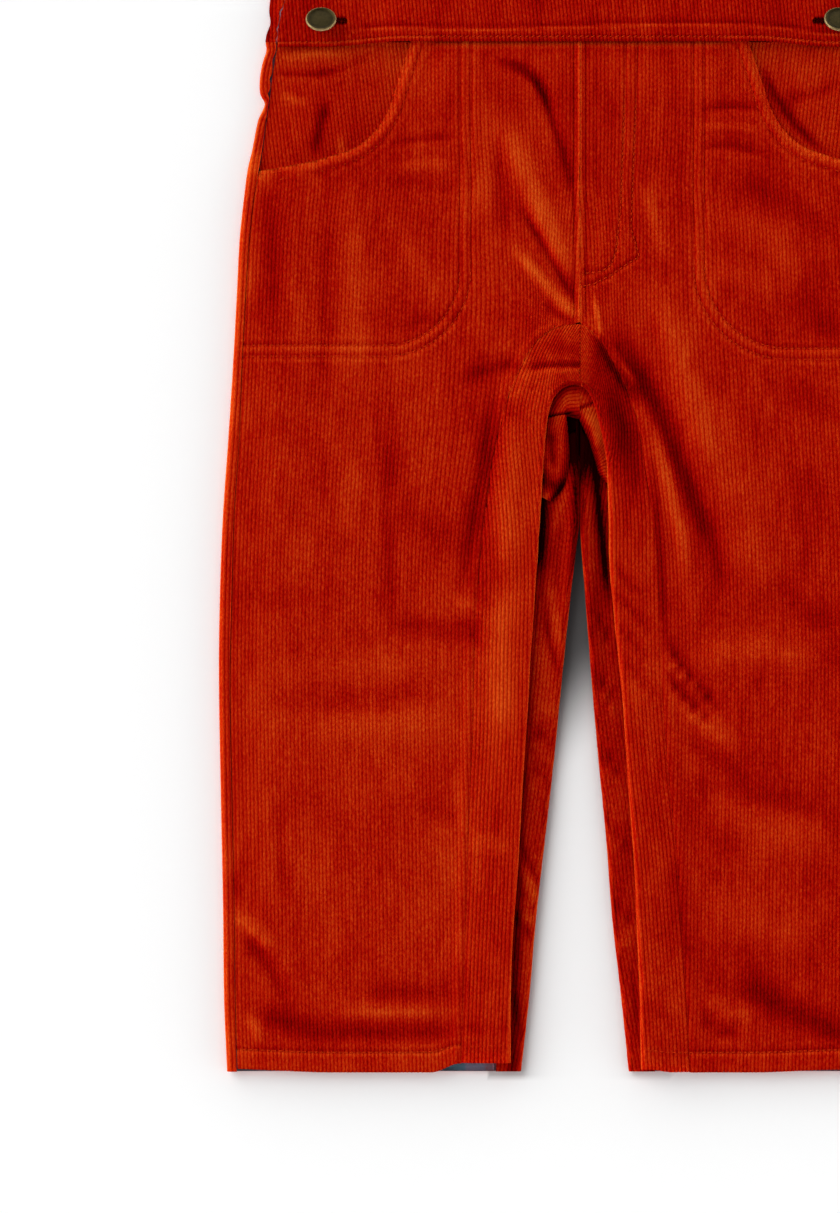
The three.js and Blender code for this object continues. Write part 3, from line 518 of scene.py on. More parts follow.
ARCH_Y = 332
WAIST_Y = 499
POCKET_CORNER_Y = 436
FLOOR_Z = HALF
SIDE_Z = 5.3
OPENING_Z = 3.5
STRIP_RADIUS = 1.25
TURN_RADIUS = 1.4
TURN_UNDER = 7
STRIP_SLANT = {"left": 0.11, "right": 0.06}
LINING = 1.0
LIP_RISE = 2.4
STRIP_TONE = {"left": 0.53, "right": 0.48}
LINING_SHOWS = 0.9
LINING_BITS = ((523, 2.2), (513.5, 1.8), (505, 1.2), (500, 1.6), (490, 2.6), (481, 1.4), (474, 1.2))
# Folds on the strips: the tone column paints shade into their creases and a painted shadow along the fold edge above
# them, and painted highlight onto their ridges.
STRIP_FOLDS = {
    "left": rows_of(
        "x0 y0 x1 y1 bow width height tone",
        (-17, 300, -19, 235, 1.0, 3.4, -0.4, -0.55),
        (-22, 268, -30, 90, 0.5, 2.6, -0.2, -0.22),
        (-29, 130, -34, -40, 0, 2.8, -0.3, -0.32),
        (-4, 300, -14, 256, -1.0, 2.4, 0.5, 0.16),
        (-1.5, 300, -3, 225, 0, 1.8, 0, -0.30),
        (-16, 240, -9, 205, 0, 2.4, 0.4, 0.10),
        (-18, 222, -9, 188, 0, 1.8, -0.5, -0.14),
        (-22, 180, -10, 172, 0, 2.0, 0.4, 0.08),
        (-24, 168, -10, 156, 0, 2.2, -0.5, -0.14),
        (-26, 150, -12, 138, 0, 2.4, -0.5, -0.12),
        (-31, 115, -16, 84, 0.5, 1.6, -0.6, -0.18),
        (-32, 107, -18, 76, 0.5, 1.6, 0.4, 0.10),
        (-32, 82, -17, 64, 0, 1.5, 0.5, 0.14),
        (-34, 78, -19, 60, 0, 1.6, -0.6, -0.16),
        (-33, 40, -25, 8, 0.5, 2.4, -0.4, -0.12),
    ),
    "right": rows_of(
        "x0 y0 x1 y1 bow width height tone",
        (7, 304, 15, 222, 0.8, 2.1, -0.6, -0.48),
        (2.5, 290, 5, 222, -0.4, 2.4, 0.4, 0.06),
        (0.5, 300, 1, 255, 0, 1.2, 0, -0.30),
        (5, 226, 18, 205, 0.5, 1.5, -0.5, -0.14),
        (6, 196, 20, 176, 0.5, 1.8, -0.5, -0.14),
        (8, 190, 20, 168, 0, 1.6, 0.4, 0.08),
        (9, 160, 22, 142, 0.5, 1.8, -0.5, -0.14),
        (11, 124, 26, 106, 0, 1.8, -0.4, -0.10),
        (15, 84, 28, 70, 0, 2.0, -0.4, -0.12),
        (17, 66, 28, 56, 0, 1.8, 0.3, 0.08),
        (25, 60, 29, 8, 0, 1.6, -0.3, -0.10),
    ),
}


def fold_edge(side, y):
    table = TURNS[side][1:]
    return curve(table, "fold_y", "fold_x", np.minimum(y, 330)) * (1 - smooth(318, 346, y))


def curl(radius, opened, least, steps=8):
    """Steps round a fold of cloth, as distances along, down and over the cloth, and its whole angle."""
    whole = mix(least, math.pi, opened)
    turns = np.linspace(0, 1, steps + 1)[1:] * whole[:, None]
    return radius * np.sin(turns), radius * (1 - np.cos(turns)), radius * turns, whole


def at_rows(y, x):
    return np.broadcast_to(y[:, None], x.shape)


def back_leg(side):
    s = SIGN[side]
    y = np.unique(np.r_[
        np.linspace(0, 14, 8), np.linspace(14, 260, 42), np.linspace(260, 340, 18), np.linspace(340, 430, 14),
        np.linspace(430, 498.85, 70),
    ])
    top = mix(SIDE_Z, OPENING_Z, smooth(432, 446, y))
    radius = (top - FLOOR_Z) / 2
    outer = curve(SIDES, "y", "outer", y) - HALF
    room = 0.15 + LINING_SHOWS * sum(np.exp(-(((y - at) / half) ** 2)) for at, half in LINING_BITS)
    seam = curve(SIDES, "y", "seam", y) + room * smooth(430, 446, y) + GAP / 2
    start = np.maximum(seam + 0.4, outer - radius)
    seam = np.minimum(seam, start - 0.4)
    step = PITCH / CORD_POINTS
    half_turn = math.pi * radius
    fold_x = np.abs(curve(STRIPS[side], "y", "edge", y)) + STRIP_RADIUS + HALF
    floor_end = half_turn + start - fold_x
    lowest = seam - start
    cords = np.arange(math.floor(lowest.min() / step), math.ceil(floor_end.max() / step) + 1) * step
    c = np.clip(cords[None, :], lowest[:, None], floor_end[:, None])
    angle = np.clip(c / radius[:, None], 0, math.pi)
    past = np.minimum(c, 0) + np.maximum(c - half_turn[:, None], 0) * -1
    x = start[:, None] + np.where(c < 0, c, past) + (outer - start)[:, None] * np.sin(angle)
    z = FLOOR_Z + radius[:, None] * (1 + np.cos(angle))
    # the fold beside the gap, then the strip on top of it, whose cords run a little across it
    opened = 1 - smooth(296, 326, y)
    along, down, run, whole = curl(STRIP_RADIUS, opened, 1.5, steps=7)
    arc_x, arc_z, arc_c = fold_x[:, None] - along, FLOOR_Z + down, floor_end[:, None] + run
    hidden = np.abs(fold_edge(side, y)) + TURN_UNDER
    strip_length = np.maximum((hidden - fold_x) * opened ** 4, 0.5)
    slant = STRIP_SLANT[side] * (260 - y)
    over = np.arange(math.floor(slant.min() / step) - 1, math.ceil((strip_length + slant).max() / step) + 1)
    reach = np.clip(over[None, :] * step - slant[:, None], 0, strip_length[:, None])
    swell = 0.35 * np.sin(math.pi * np.clip(reach / 14, 0, 1)) * opened[:, None]
    strip_x = arc_x[:, -1:] - reach * np.cos(whole)[:, None]
    strip_z = arc_z[:, -1:] + np.minimum(reach, 0.6) * np.sin(whole)[:, None] + swell
    x = np.concatenate([x, arc_x, strip_x], 1)
    z = np.concatenate([z, arc_z, strip_z], 1)
    across = np.concatenate([c, arc_c, arc_c[:, -1:] + reach + slant[:, None]], 1)
    on_strip = np.arange(x.shape[1])[None, :] >= c.shape[1]
    from_gap = x - np.abs(curve(STRIPS[side], "y", "edge", y))[:, None]
    lip = smooth(150, 235, y) * (1 - smooth(285, 330, y))
    z = z + LIP_RISE * lip[:, None] * (1 - smooth(0, 9, from_gap))
    z = z + np.where(on_strip, folds_at(STRIP_FOLDS[side], "height", s * x, y[:, None]), 0) * smooth(0.5, 3, from_gap)
    middle = np.stack([s * x, at_rows(y, x), z], -1)
    nap_and_shade = np.full(across.shape, 0.56)
    # painted shade that darkens the panel nearly to black in the hollow under the crotch, where its inner side is given
    # the corduroy too
    hollow_shade = smooth(225, 262, middle[..., 1]) * (1 - smooth(24, 40, x)) * (1 - smooth(340, 380, middle[..., 1]))
    nap_and_shade -= 0.95 * hollow_shade
    # the strips' own tone with their folds' painted shade and highlight, painted shade deepening towards the crotch,
    # and a painted shadow along each strip's edge by the gap near the crotch
    tones = STRIP_TONE[side] - (0.09 * smooth(200, 240, y) + smooth(276, 316, y))[:, None] + folds_at(STRIP_FOLDS[side], "tone", s * x, y[:, None])
    nap_and_shade = np.where(on_strip, tones - 0.25 * (from_gap < 0.6) * smooth(240, 262, y)[:, None], nap_and_shade)
    even = np.maximum(1 - smooth(236, 262, y)[:, None], smooth(1, 4, from_gap))
    piece = cloth(f"back_panel_{side}", middle, across, nap_and_shade, flip=side == "left", bare=hollow_shade > 0.01, even=even)
    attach(piece, "root")
    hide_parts(f"back_leg_{side}")


for side in SIGN:
    back_leg(side)

# The crotch: the same back panels roll down under the arch, with their cords running across the roll.
CROTCH_ROLLS = {
    "left": rows_of(
        "hidden_x hidden_y edge_x edge_y",
        (0, 338, 0, 316), (-6, 337, -6.5, 317), (-12.5, 333, -6.2, 310), (-18, 325, -5.4, 302),
        (-20.5, 313, -5.6, 293), (-21.2, 298, -8, 283), (-21.5, 280, -14, 276),
    ),
    "right": rows_of(
        "hidden_x hidden_y edge_x edge_y",
        (0, 338, 0, 316), (5, 336, 2.4, 310.5), (10, 331, 4.9, 305), (13, 321, 6.8, 298.5),
        (15, 307, 8.3, 293.5), (16, 297, 9.8, 289), (16.5, 288, 13, 285),
    ),
}
ROLL_PROFILE = rows_of("u z", (0, 5.3), (0.3, 5.3), (0.5, 5.5), (0.7, 6), (0.88, 5.8), (1, 5.3))


def rail(table, x_name, y_name, at):
    place = np.array(
        [(i, row[x_name], row[y_name]) for i, row in enumerate(table)],
        dtype=[("i", float), ("x", float), ("y", float)],
    )
    i = at * (len(table) - 1)
    return np.stack([curve(place, "i", "x", i), curve(place, "i", "y", i)], -1)


# The roll's creases: the tone column paints shade into them and highlight beside them.
ROLL_CREASES = {
    "left": rows_of(
        "x0 y0 x1 y1 bow width height tone",
        (-23, 288, -5, 281, 0.5, 4.0, -0.3, -0.3),
        (-22, 315, -2, 319, -0.6, 0.8, -0.7, -0.4),
        (-13, 312, -12, 290, 1, 2.2, -0.5, -0.25),
        (-17, 308, -16, 288, 0, 2, 0.5, 0.12),
    ),
    "right": rows_of(
        "x0 y0 x1 y1 bow width height tone",
        (-6, 319, 9, 325, 0.5, 0.9, -0.8, -0.4),
        (2, 320, 10, 300, -2, 3, 0.4, 0.1),
    ),
}


def crotch_roll(side):
    s = SIGN[side]
    table = CROTCH_ROLLS[side]
    v = np.linspace(0, 1, 130)
    hidden = rail(table, "hidden_x", "hidden_y", v)
    edge = rail(table, "edge_x", "edge_y", v)
    wide = np.linalg.norm(edge - hidden, axis=1)[:, None]
    if side == "left":
        # its cords run round the arch, side by side with its hidden edge
        step = PITCH / CORD_POINTS
        across = np.clip(np.arange(0, math.ceil(wide.max() / step) + 1)[None, :] * step, 0, wide)
        u = across / wide
    else:
        u = np.broadcast_to(np.linspace(0, 1, 17)[None, :], (len(v), 17))
        run = np.r_[0, np.cumsum(np.linalg.norm(np.diff((hidden + edge) / 2, axis=0), axis=1))]
        across = run[:, None] + 7 * u
    flat = hidden[:, None] * (1 - u[..., None]) + edge[:, None] * u[..., None]
    x = s * np.maximum(0.05, s * flat[..., 0])
    z = curve(ROLL_PROFILE, "u", "z", u) + folds_at(ROLL_CREASES[side], "height", x, flat[..., 1])
    middle = np.stack([x, flat[..., 1], z], -1)
    # painted shade where the roll turns down into the hollow and where it tucks under the arch
    nap_and_shade = 0.56 - 0.34 * smooth(0.72, 1, u) - 0.25 * (1 - smooth(0.25, 0.5, u))
    nap_and_shade = nap_and_shade + folds_at(ROLL_CREASES[side], "tone", x, flat[..., 1])
    piece = cloth(f"crotch_roll_cloth_{side}", middle, across, nap_and_shade, thickness=CLOTH * 0.7, pile=0.25,
                  materials=[corduroy, corduroy], flip=side == "left")
    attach(piece, "root")
    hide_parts(f"crotch_roll_{side}")


for side in SIGN:
    crotch_roll(side)

# The front legs: one panel on each side from the hem to the waistband, with the pocket scooped out of it.
# The pocket bags, the false fly and the centre seam are sewn through it in rows that press the pile down.
FRONT_RISE = 0.9
FOLD_RISE = 2.2
# The folds of the front legs: heights for their ridges and troughs, and a tone that paints shade into the troughs and
# highlight onto the ridges.
FOLDS = {
    "left": rows_of(
        "x0 y0 x1 y1 bow width height tone",
        (-39, 337, -58, 226, -0.5, 4.8, -1.1, -0.24),  # dark inseam valley
        (-50, 257, -53, 199, 0.0, 2.9, -0.3, -0.05),  # inseam valley low
        (-33, 325, -36, 228, -0.3, 6.3, 0.9, 0.14),  # bright turned crest upper
        (-36, 243, -39, 151, 0.3, 7.7, 0.5, 0.16),  # bright turned crest lower
        (-47.4, 491.8, -11.6, 456.9, -9, 3.2, -1.2, -0.2),  # hip dark 1
        (-25.2, 486.9, -1.9, 414.8, -3, 2.8, -1.1, -0.18),  # hip dark 1 lower part
        (-41, 468, 0, 369, 0.2, 6.0, 1.4, 0.18),  # hip bright 1
        (-31.5, 424, 2, 364, -0.5, 2.6, -1.3, -0.2),  # hip dark 2
        (-35, 402, 4, 358, 0.8, 3.0, 0.8, 0.2),  # hip bright 2
        (-19, 372, 3, 361, 1.5, 2.2, -0.5, -0.1),  # hip dark 3
        (-49, 490, -44, 374, -1.5, 5.8, 0.3, 0.08),  # hip left bright
        (-40, 456, -35, 398, 1.2, 3.4, -0.4, -0.1),  # hip left dark
        (-60, 333, -24, 342, -1.3, 4.4, -0.8, -0.1),  # crease left of crotch
        (-31, 339, 15, 339, -2.4, 1.9, -0.9, -0.14),  # crease over the arch
        (-19, 352, 5, 348, 1.1, 3.9, -0.3, -0.1),  # above arch dark
        (-31, 352, -36, 320, -6.6, 3.9, 0.4, 0.08),  # above arch bright
        (-94, 449, -56, 452.5, -0.5, 1.9, -0.35, -0.1),  # bag crease 1
        (-98, 429, -56, 427, -2, 2.4, -0.3, -0.07),  # bag crease 2
        (-94, 437, -56, 438, -1, 2.4, 0.3, 0.08),  # bag bright 1
        (-154, 434, -149, 359, -1.2, 5.8, -0.2, -0.1),  # bag left dark
        (-111, 437, -110, 316, -2.1, 8.7, 0.2, 0.09),  # bag bright vertical
        (-140, 398, -136, 316, -2.3, 5.8, 0.2, 0.05),  # vertical bright 2
        (-124, 432, -125, 316, -1.5, 3.9, -0.2, -0.06),  # vertical dark 1
        (-93, 342, -93, 200, -0.5, 4.6, -0.2, -0.1),  # vertical dark 2
        (-91, 408, -68, 364, -2.8, 5.8, 0.3, 0.07),  # bag corner bright
        (-89, 359, -48, 365, -1.8, 4.4, -0.4, -0.06),  # bag corner dark
        (-166, 311, -121, 277, -14.6, 6.8, -0.2, -0.05),  # side shade high
        (-90, 275, -55, 248, -0.7, 9.0, -0.2, -0.05),  # leg dark patch
        (-169, 233, -121, 233, 4.8, 3.9, -0.4, -0.06),  # leg cross dark
        (-62, 227, -44, 222, -0.5, 3.4, 0.5, 0.12),  # kink bright
        (-98, 216, -52, 212, -0.4, 4.8, -0.5, -0.11),  # kink dark
        (-62, 216, -48, 203, -3.8, 2.9, -0.5, -0.1),  # kink dark small
        (-165, 196, -53, 198, 2.8, 5.3, 0.3, 0.06),  # cross bright
        (-170, 181, -60, 182, 2.9, 4.2, -0.25, -0.055),  # cross dark
        (-140, 163, -53, 168, -1.2, 8.2, 0.5, 0.08),  # cross bright low
        (-144, 136, -140, 74, 2.7, 3.4, -0.3, -0.07),  # shin dark
        (-82, 129, -56, 122, -0.0, 3.4, -0.4, -0.07),  # shin mark
        (-55, 111, -33, 108, -1.4, 4.4, 0.3, 0.12),  # strip spot
        (-171, 79, -144, 57, 0.1, 2.9, 0.9, 0.16),  # side bright diagonal
        (-166, 69, -140, 30, -2.3, 4.4, -1.1, -0.16),  # side dark diagonal
        (-173, 100, -160, 81, 0.2, 2.9, -0.6, -0.08),  # side dark small
        (-166, 34, -105, 19, 5.0, 5.8, -0.6, -0.16),  # hem dark left
        (-126, 19, -53, 18, 0.5, 4.8, -0.8, -0.17),  # hem dark right
        (-121, 29, -60, 29, 1.0, 2.4, 1.0, 0.14),  # hem bright line
        (-112, 38, -54, 37, 0.7, 6.0, -0.5, -0.12),  # hem soft dark
        (-62, 20, -31, 18, 1.1, 2.9, -0.4, -0.08),  # strip hem dark
        (-162, 29, -154, 11, -0.7, 2.4, 0.6, 0.14),  # hem corner bright
    ),
    "right": rows_of(
        "x0 y0 x1 y1 bow width height tone",
        (6, 360, 32, 318, 0, 6.0, -0.9, -0.2),  # trough top
        (11.5, 354, 31.5, 329, 1.6, 1.7, 0.5, 0.16),  # bright beside the inseam
        (8.5, 353, 28, 322, 1.6, 1.5, -0.25, -0.1),  # shade under the inseam
        (6.3, 378, 10.2, 352, -0.2, 1.2, 0.5, 0.18),  # short ridge
        (35, 300, 42, 198, -0.5, 1.7, -0.5, -0.17),  # inseam dark
        (11, 370, 66, 238, -5.0, 5.8, -1.7, -0.25),  # trough
        (58, 277, 70, 224, -1.5, 4.4, -0.8, -0.14),  # trough tail
        (10, 336, 27, 267, -5.0, 5.2, -0.6, -0.12),  # trough inner dark
        (29, 326, 53, 236, -2.0, 3.0, 1.0, 0.15),  # ridge inside
        (48, 262, 56, 205, -0.6, 3.4, 0.3, 0.04),  # ridge inside tail
        (33, 384, 66, 284, -2.0, 6.0, 1.3, 0.1),  # ridge outside
        (52, 318, 90, 224, -5.8, 8.2, 0.6, 0.08),  # ridge outside low
        (12, 490, 10, 403, -3.8, 3.9, -0.2, -0.03),  # fly side dark
        (29, 434, 44, 386, 0, 3.2, 0.3, 0.1),  # fly below dark
        (56, 465, 92, 465, -1.9, 1.9, -0.5, -0.1),  # bag wrinkle 1
        (53, 456, 90, 454, -2.2, 1.9, 0.4, 0.08),  # bag wrinkle 2
        (54, 446, 94, 441, -4.0, 2.4, -0.5, -0.08),  # bag wrinkle 3
        (58, 432, 131, 393, -9.1, 6.8, -0.4, -0.07),  # bag dark diagonal
        (58, 415, 106, 374, -12.0, 7.7, 0.4, 0.09),  # bag bright
        (58, 388, 102, 374, -2.3, 6.8, 0.3, 0.06),  # bag bright low
        (102, 383, 131, 349, 3.4, 7.7, -0.3, -0.08),  # bag dark low
        (87, 333, 131, 316, -0.3, 5.8, -0.3, -0.04),  # below bag dark
        (58, 333, 87, 267, -2.2, 6.8, 0.4, 0.06),  # below bag bright
        (13, 325, 18, 199, 1.3, 1.9, 0.5, 0.12),  # fold edge bright
        (16, 325, 23, 246, -1.9, 5.8, -0.4, -0.06),  # edge dark beside
        (15, 248, 35, 228, 2.4, 1.9, -0.5, -0.1),  # wrinkle a
        (15, 233, 37, 209, -0.9, 1.9, -0.5, -0.1),  # wrinkle b
        (15, 219, 37, 196, 0.1, 1.9, -0.5, -0.1),  # wrinkle c
        (17, 203, 39, 180, 0.1, 1.9, -0.4, -0.08),  # wrinkle d
        (38, 213, 73, 172, 2.5, 2.5, -1.1, -0.22),  # diagonal dark 1
        (41, 201, 63, 181, 1.1, 1.8, 0.8, 0.14),  # diagonal bright 1
        (39, 196, 67, 167, 1.6, 2.2, -1.0, -0.19),  # diagonal dark 2
        (42, 180, 80, 153, -1.0, 3.0, 0.5, 0.08),  # diagonal bright 2
        (42, 168, 88, 138, 1.4, 4.0, -0.5, -0.09),  # diagonal dark 3
        (48, 199, 122, 196, -4.0, 6.8, 0.7, 0.1),  # knee bright
        (93, 248, 131, 215, 9.3, 6.8, -0.7, -0.1),  # knee dark right
        (106, 301, 109, 228, -1.5, 7.7, -0.3, -0.06),  # column dark
        (53, 127, 131, 103, -0.9, 9.7, 0.5, 0.07),  # shin bright
        (53, 141, 131, 121, -0.5, 4.4, -0.5, -0.07),  # shin dark
        (45, 107, 53, 49, 0.7, 3.4, -0.4, -0.08),  # inner dark low
        (58, 83, 121, 59, 3.1, 8.7, 0.5, 0.06),  # low bright
        (66, 47, 150, 7, 1.2, 6.8, -1.1, -0.2),  # hem dark diagonal
        (56, 35, 87, 24, -0.5, 2.9, 0.8, 0.1),  # hem bright
        (56, 26, 80, 17, 1.2, 2.9, -0.8, -0.14),  # hem dark small
        (31, 34, 48, 20, 0.2, 2.4, -0.4, -0.08),  # hem inner
    ),
}
POCKETS = {
    "left": rows_of(
        "x y",
        (155.5, 436), (143.5, 438), (128.5, 441), (115, 445), (107, 448.5), (99, 455.5), (92.7, 465.5),
        (89, 476.5), (85.3, 488), (81.6, 499),
    ),
    "right": rows_of(
        "x y",
        (155.5, 436), (143.5, 438), (128.5, 441), (115, 445), (107, 448.5), (99, 455.5), (92.7, 465.5),
        (89, 476.5), (85.3, 488), (81.6, 499),
    ),
}
BAG_EDGE = {"left": -58.1, "right": 60.3}
BAG_CORNER = {"left": 36.0, "right": 40.0}
BAG_FLOOR = {"left": 346.5, "right": 345.0}
ROW_SPACING = 5.3
HEM_STITCH = 9.5
SEAM_TUCK = 4
SEAM_GAP = 0.02
WAIST_SWELL = 0.9
WAIST_DIP = 0.6
BEND = {"left": 8.5, "right": 5.0}
LEG_TONE = {"left": 0.04, "right": 0.0}


def front_height(side, x, y):
    seam = curve(SIDES, "y", "seam", y)
    rise = FRONT_RISE * smooth(0, 22, seam - np.abs(x)) * (1 - smooth(470, WAIST_Y - 4, y))
    from_edge = np.abs(x - fold_edge(side, y))
    inner = FOLD_RISE * (1 - smooth(3, 36, from_edge)) * (1 - smooth(ARCH_Y + 4, 384, y))
    calm = (1 - smooth(WAIST_Y - 24, WAIST_Y - 6, y)) * smooth(1, 12, seam - np.abs(x))
    return SIDE_Z + rise + inner + calm * folds_at(FOLDS[side], "height", x, y)


def hem_lift(side, x):
    if side == "left":
        return 4.4 * smooth(-72, -58, x) + 1.6 * smooth(120, 170, -x)
    return 1.3 * (1 - smooth(34, 44, x)) + 1.3 * smooth(84, 126, x)


def lifted(side, x, y):
    return y + hem_lift(side, x) * (1 - smooth(0, 40, y))


def corner_path(edge, floor, corner, far, top, sign):
    """A sewn row: down from the top, round a corner, and out to the side seam."""
    turn = np.linspace(0, math.pi / 2, 14)
    x = np.r_[edge, edge + corner * (1 - np.cos(turn)), far]
    y = np.r_[top, floor + corner * (1 - np.sin(turn)), floor]
    return np.stack([sign * x, y], -1)


def offset_path(path, distance):
    step = np.gradient(path, axis=0)
    step /= np.linalg.norm(step, axis=1, keepdims=True)
    return path + distance * np.stack([step[:, 1], -step[:, 0]], -1)


def sewn_rows(side):
    s = SIGN[side]
    edge, corner, floor = abs(BAG_EDGE[side]), BAG_CORNER[side], BAG_FLOOR[side]
    pocket = np.stack([POCKETS[side]["x"], POCKETS[side]["y"]], -1)
    at = np.linspace(0, 1, 40)
    pocket = rail(POCKETS[side], "x", "y", at)
    inside = offset_path(pocket, -1.6)
    outside = offset_path(pocket, -5.6)
    far = curve(SIDES, "y", "seam", floor) - 0.5
    rows = {
        "scoop_edge": inside * (s, 1),
        "scoop_row": outside * (s, 1),
        "bag_inner": corner_path(edge, floor + ROW_SPACING, corner, far, WAIST_Y, s),
        "bag_outer": corner_path(edge - ROW_SPACING, floor, corner + ROW_SPACING, far, WAIST_Y, s),
    }
    return rows


FLY_ROWS = {
    "inner": np.array([(22.3, 498), (21.6, 470), (19.8, 420), (17.6, 398), (15.2, 391), (10.5, 387.4), (3.4, 386.8), (1.5, 386.2)]),
    "outer": np.array([(28.1, 498), (27.2, 470), (24.7, 408), (27.4, 400), (28.6, 394.5), (24.2, 392), (15, 385.8), (6.8, 381.4), (1.5, 380.4)]),
    "faint": np.array([(7.7, 498), (7.7, 440), (7.2, 392)]),
}


def distance_to(path, x, y):
    best = np.full(np.broadcast(x, y).shape, 1e9)
    for (ax, ay), (bx, by) in zip(path[:-1], path[1:]):
        dx, dy = bx - ax, by - ay
        t = np.clip(((x - ax) * dx + (y - ay) * dy) / (dx * dx + dy * dy), 0, 1)
        best = np.minimum(best, np.hypot(x - ax - t * dx, y - ay - t * dy))
    return best


def groove(distance, width, depth):
    return -depth * np.exp(-((distance / width) ** 2))


FRONT_ROWS = np.unique(np.r_[
    np.linspace(0, 14, 13), np.linspace(14, 335, 66), np.linspace(335, 405, 46), np.linspace(405, 436, 9),
    np.linspace(436, 503, 40),
])


def front_leg(side):
    s = SIGN[side]
    step = PITCH / CORD_POINTS
    top_table = POCKETS[side]
    lean_at = curve(SIDES, "y", "outer", FRONT_ROWS)
    reach = curve(SIDES, "y", "outer", WAIST_Y)

    def lean(y):
        return 0.8 * (curve(SIDES, "y", "outer", np.clip(y, 0, 430)) - 163)

    def bend(y):
        """How far the cords are drawn in towards the centre seam above the crotch."""
        near = smooth(0, 34, cords) * np.where(cords < 34, 1, np.exp(-(((cords - 34) / 28) ** 2)))
        return -BEND[side] * smooth(240, 345, y) * (1 - smooth(365, 470, y)) * near[None, :]

    def top(x):
        scoop = curve(top_table, "x", "y", np.clip(x, 81.6, 155.5))
        return np.where(x < 81.6, WAIST_Y + SEAM_TUCK * (1 - smooth(79, 81.6, x)), scoop)

    def inner_limit(y):
        seam = np.abs(curve(TURNS[side], "seam_y", "seam_x", np.minimum(y, CROTCH_Y)))
        return np.where(y < CROTCH_Y, seam, 0) + SEAM_GAP

    cords = np.arange(-22, 178, step)
    y = np.broadcast_to(FRONT_ROWS[:, None], (len(FRONT_ROWS), len(cords))).copy()
    asked = y.copy()
    for _ in range(8):
        high = curve(SIDES, "y", "seam", y) - GAP / 2
        x = np.clip(cords[None, :] + lean(y) + bend(y), inner_limit(y), high)
        y = np.minimum(asked, top(x))
    across = x - lean(y) - bend(y)
    z = front_height(side, s * x, y)
    # the folds' painted shade and highlight are added to the tone
    nap_and_shade = 0.5 + folds_at(FOLDS[side], "tone", s * x, y) + LEG_TONE[side] * (1 - smooth(300, 345, y))
    for name, path in sewn_rows(side).items():
        d = distance_to(path, s * x, y)
        z += groove(d, 0.8, 0.35) - groove(d - 2.4, 1.6, 0.12)
        nap_and_shade += 0.03 * np.exp(-(((d - 2.2) / 1.4) ** 2)) - 0.05 * np.exp(-((d / 0.7) ** 2))
    if side == "right":
        for name, path in FLY_ROWS.items():
            depth = 0.5 if name != "faint" else 0.2
            d = distance_to(path, x, y)
            z += groove(d, 0.9, depth)
            nap_and_shade -= 0.12 * depth * np.exp(-((d / 0.8) ** 2))
    # the hem's sewn row, the panel's rounded edges, and the seam ridges
    z += groove(y - HEM_STITCH, 0.9, 0.5)
    z -= 0.5 * np.exp(-(y / 0.9) ** 2)
    # a painted highlight along the hem's lower edge
    nap_and_shade += 0.12 * np.exp(-((y / 2.0) ** 2))
    inside = 1 - smooth(66, 74, x)
    # a painted highlight along the side seam's edge above the crotch, and painted shade just under the waistband
    nap_and_shade += 0.09 * np.exp(-(((high - x) / 6.0) ** 2)) * smooth(366, 384, y)
    nap_and_shade -= 0.12 * inside * np.exp(-(((y - 495.6) / 1.7) ** 2))
    z += inside * (WAIST_SWELL * smooth(462, 490, y) - (WAIST_SWELL + WAIST_DIP) * smooth(495, 498.6, y))
    from_seam = high - x
    z -= 0.45 * np.exp(-((from_seam / 1.0) ** 2))
    above = smooth(CROTCH_Y - 2, CROTCH_Y + 6, y)
    beside = x - inner_limit(y)
    low = 1 - smooth(275, 335, y)
    z -= 0.3 * low * np.exp(-((beside / 0.9) ** 2)) * (1 - above)
    z += 0.35 * np.exp(-(((beside - 2.6) / 2.0) ** 2)) * (1 - above)
    z += (0.55 * np.exp(-((x / 1.1) ** 2)) - 0.35 * np.exp(-(((x - 3.0) / 0.7) ** 2))) * above
    # painted shade beside the inseam low down and a painted highlight above it; a painted highlight and shade beside
    # the centre seam above the crotch
    nap_and_shade += (0.08 - 0.12 * low) * np.exp(-((beside / 0.9) ** 2)) * (1 - above)
    nap_and_shade -= 0.02 * np.exp(-((from_seam / 1.2) ** 2))
    nap_and_shade += (0.11 * np.exp(-((x / 0.9) ** 2)) - 0.14 * np.exp(-(((x - 2.8) / 0.8) ** 2))) * above
    scoop = distance_to(rail(top_table, "x", "y", np.linspace(0, 1, 40)), x, y)
    z -= 0.6 * np.exp(-((scoop / 0.9) ** 2))
    z += 0.3 * np.exp(-(((scoop - 3.4) / 2.2) ** 2))
    # a painted highlight along the pocket's scoop edge
    nap_and_shade += 0.05 * np.exp(-(((scoop - 0.8) / 0.8) ** 2))
    middle = np.stack([s * x, lifted(side, s * x, y), z], -1)
    piece = cloth(f"front_panel_{side}", middle, across, nap_and_shade, flip=side == "left")
    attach(piece, "root")
    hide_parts(f"front_leg_{side}")
    return piece


for side in SIGN:
    front_leg(side)

# The turned inner edges: the rest of each back panel, from the inseam to the fold that rolls under.
ARCH_CURL = 1.7
# how much painted shade darkens each turned edge near the crotch
TURN_SHADE = {"left": 0.0, "right": 0.16}
TURN_SLIP = {
    "left": rows_of("v slip", (0, 0), (0.1, 11), (0.2, 20), (0.4, 25), (0.5, 33), (0.62, 41), (1, 41)),
    "right": rows_of("v slip", (0, 0), (0.1, 7), (0.2, 13), (0.4, 21), (0.6, 26), (1, 26)),
}


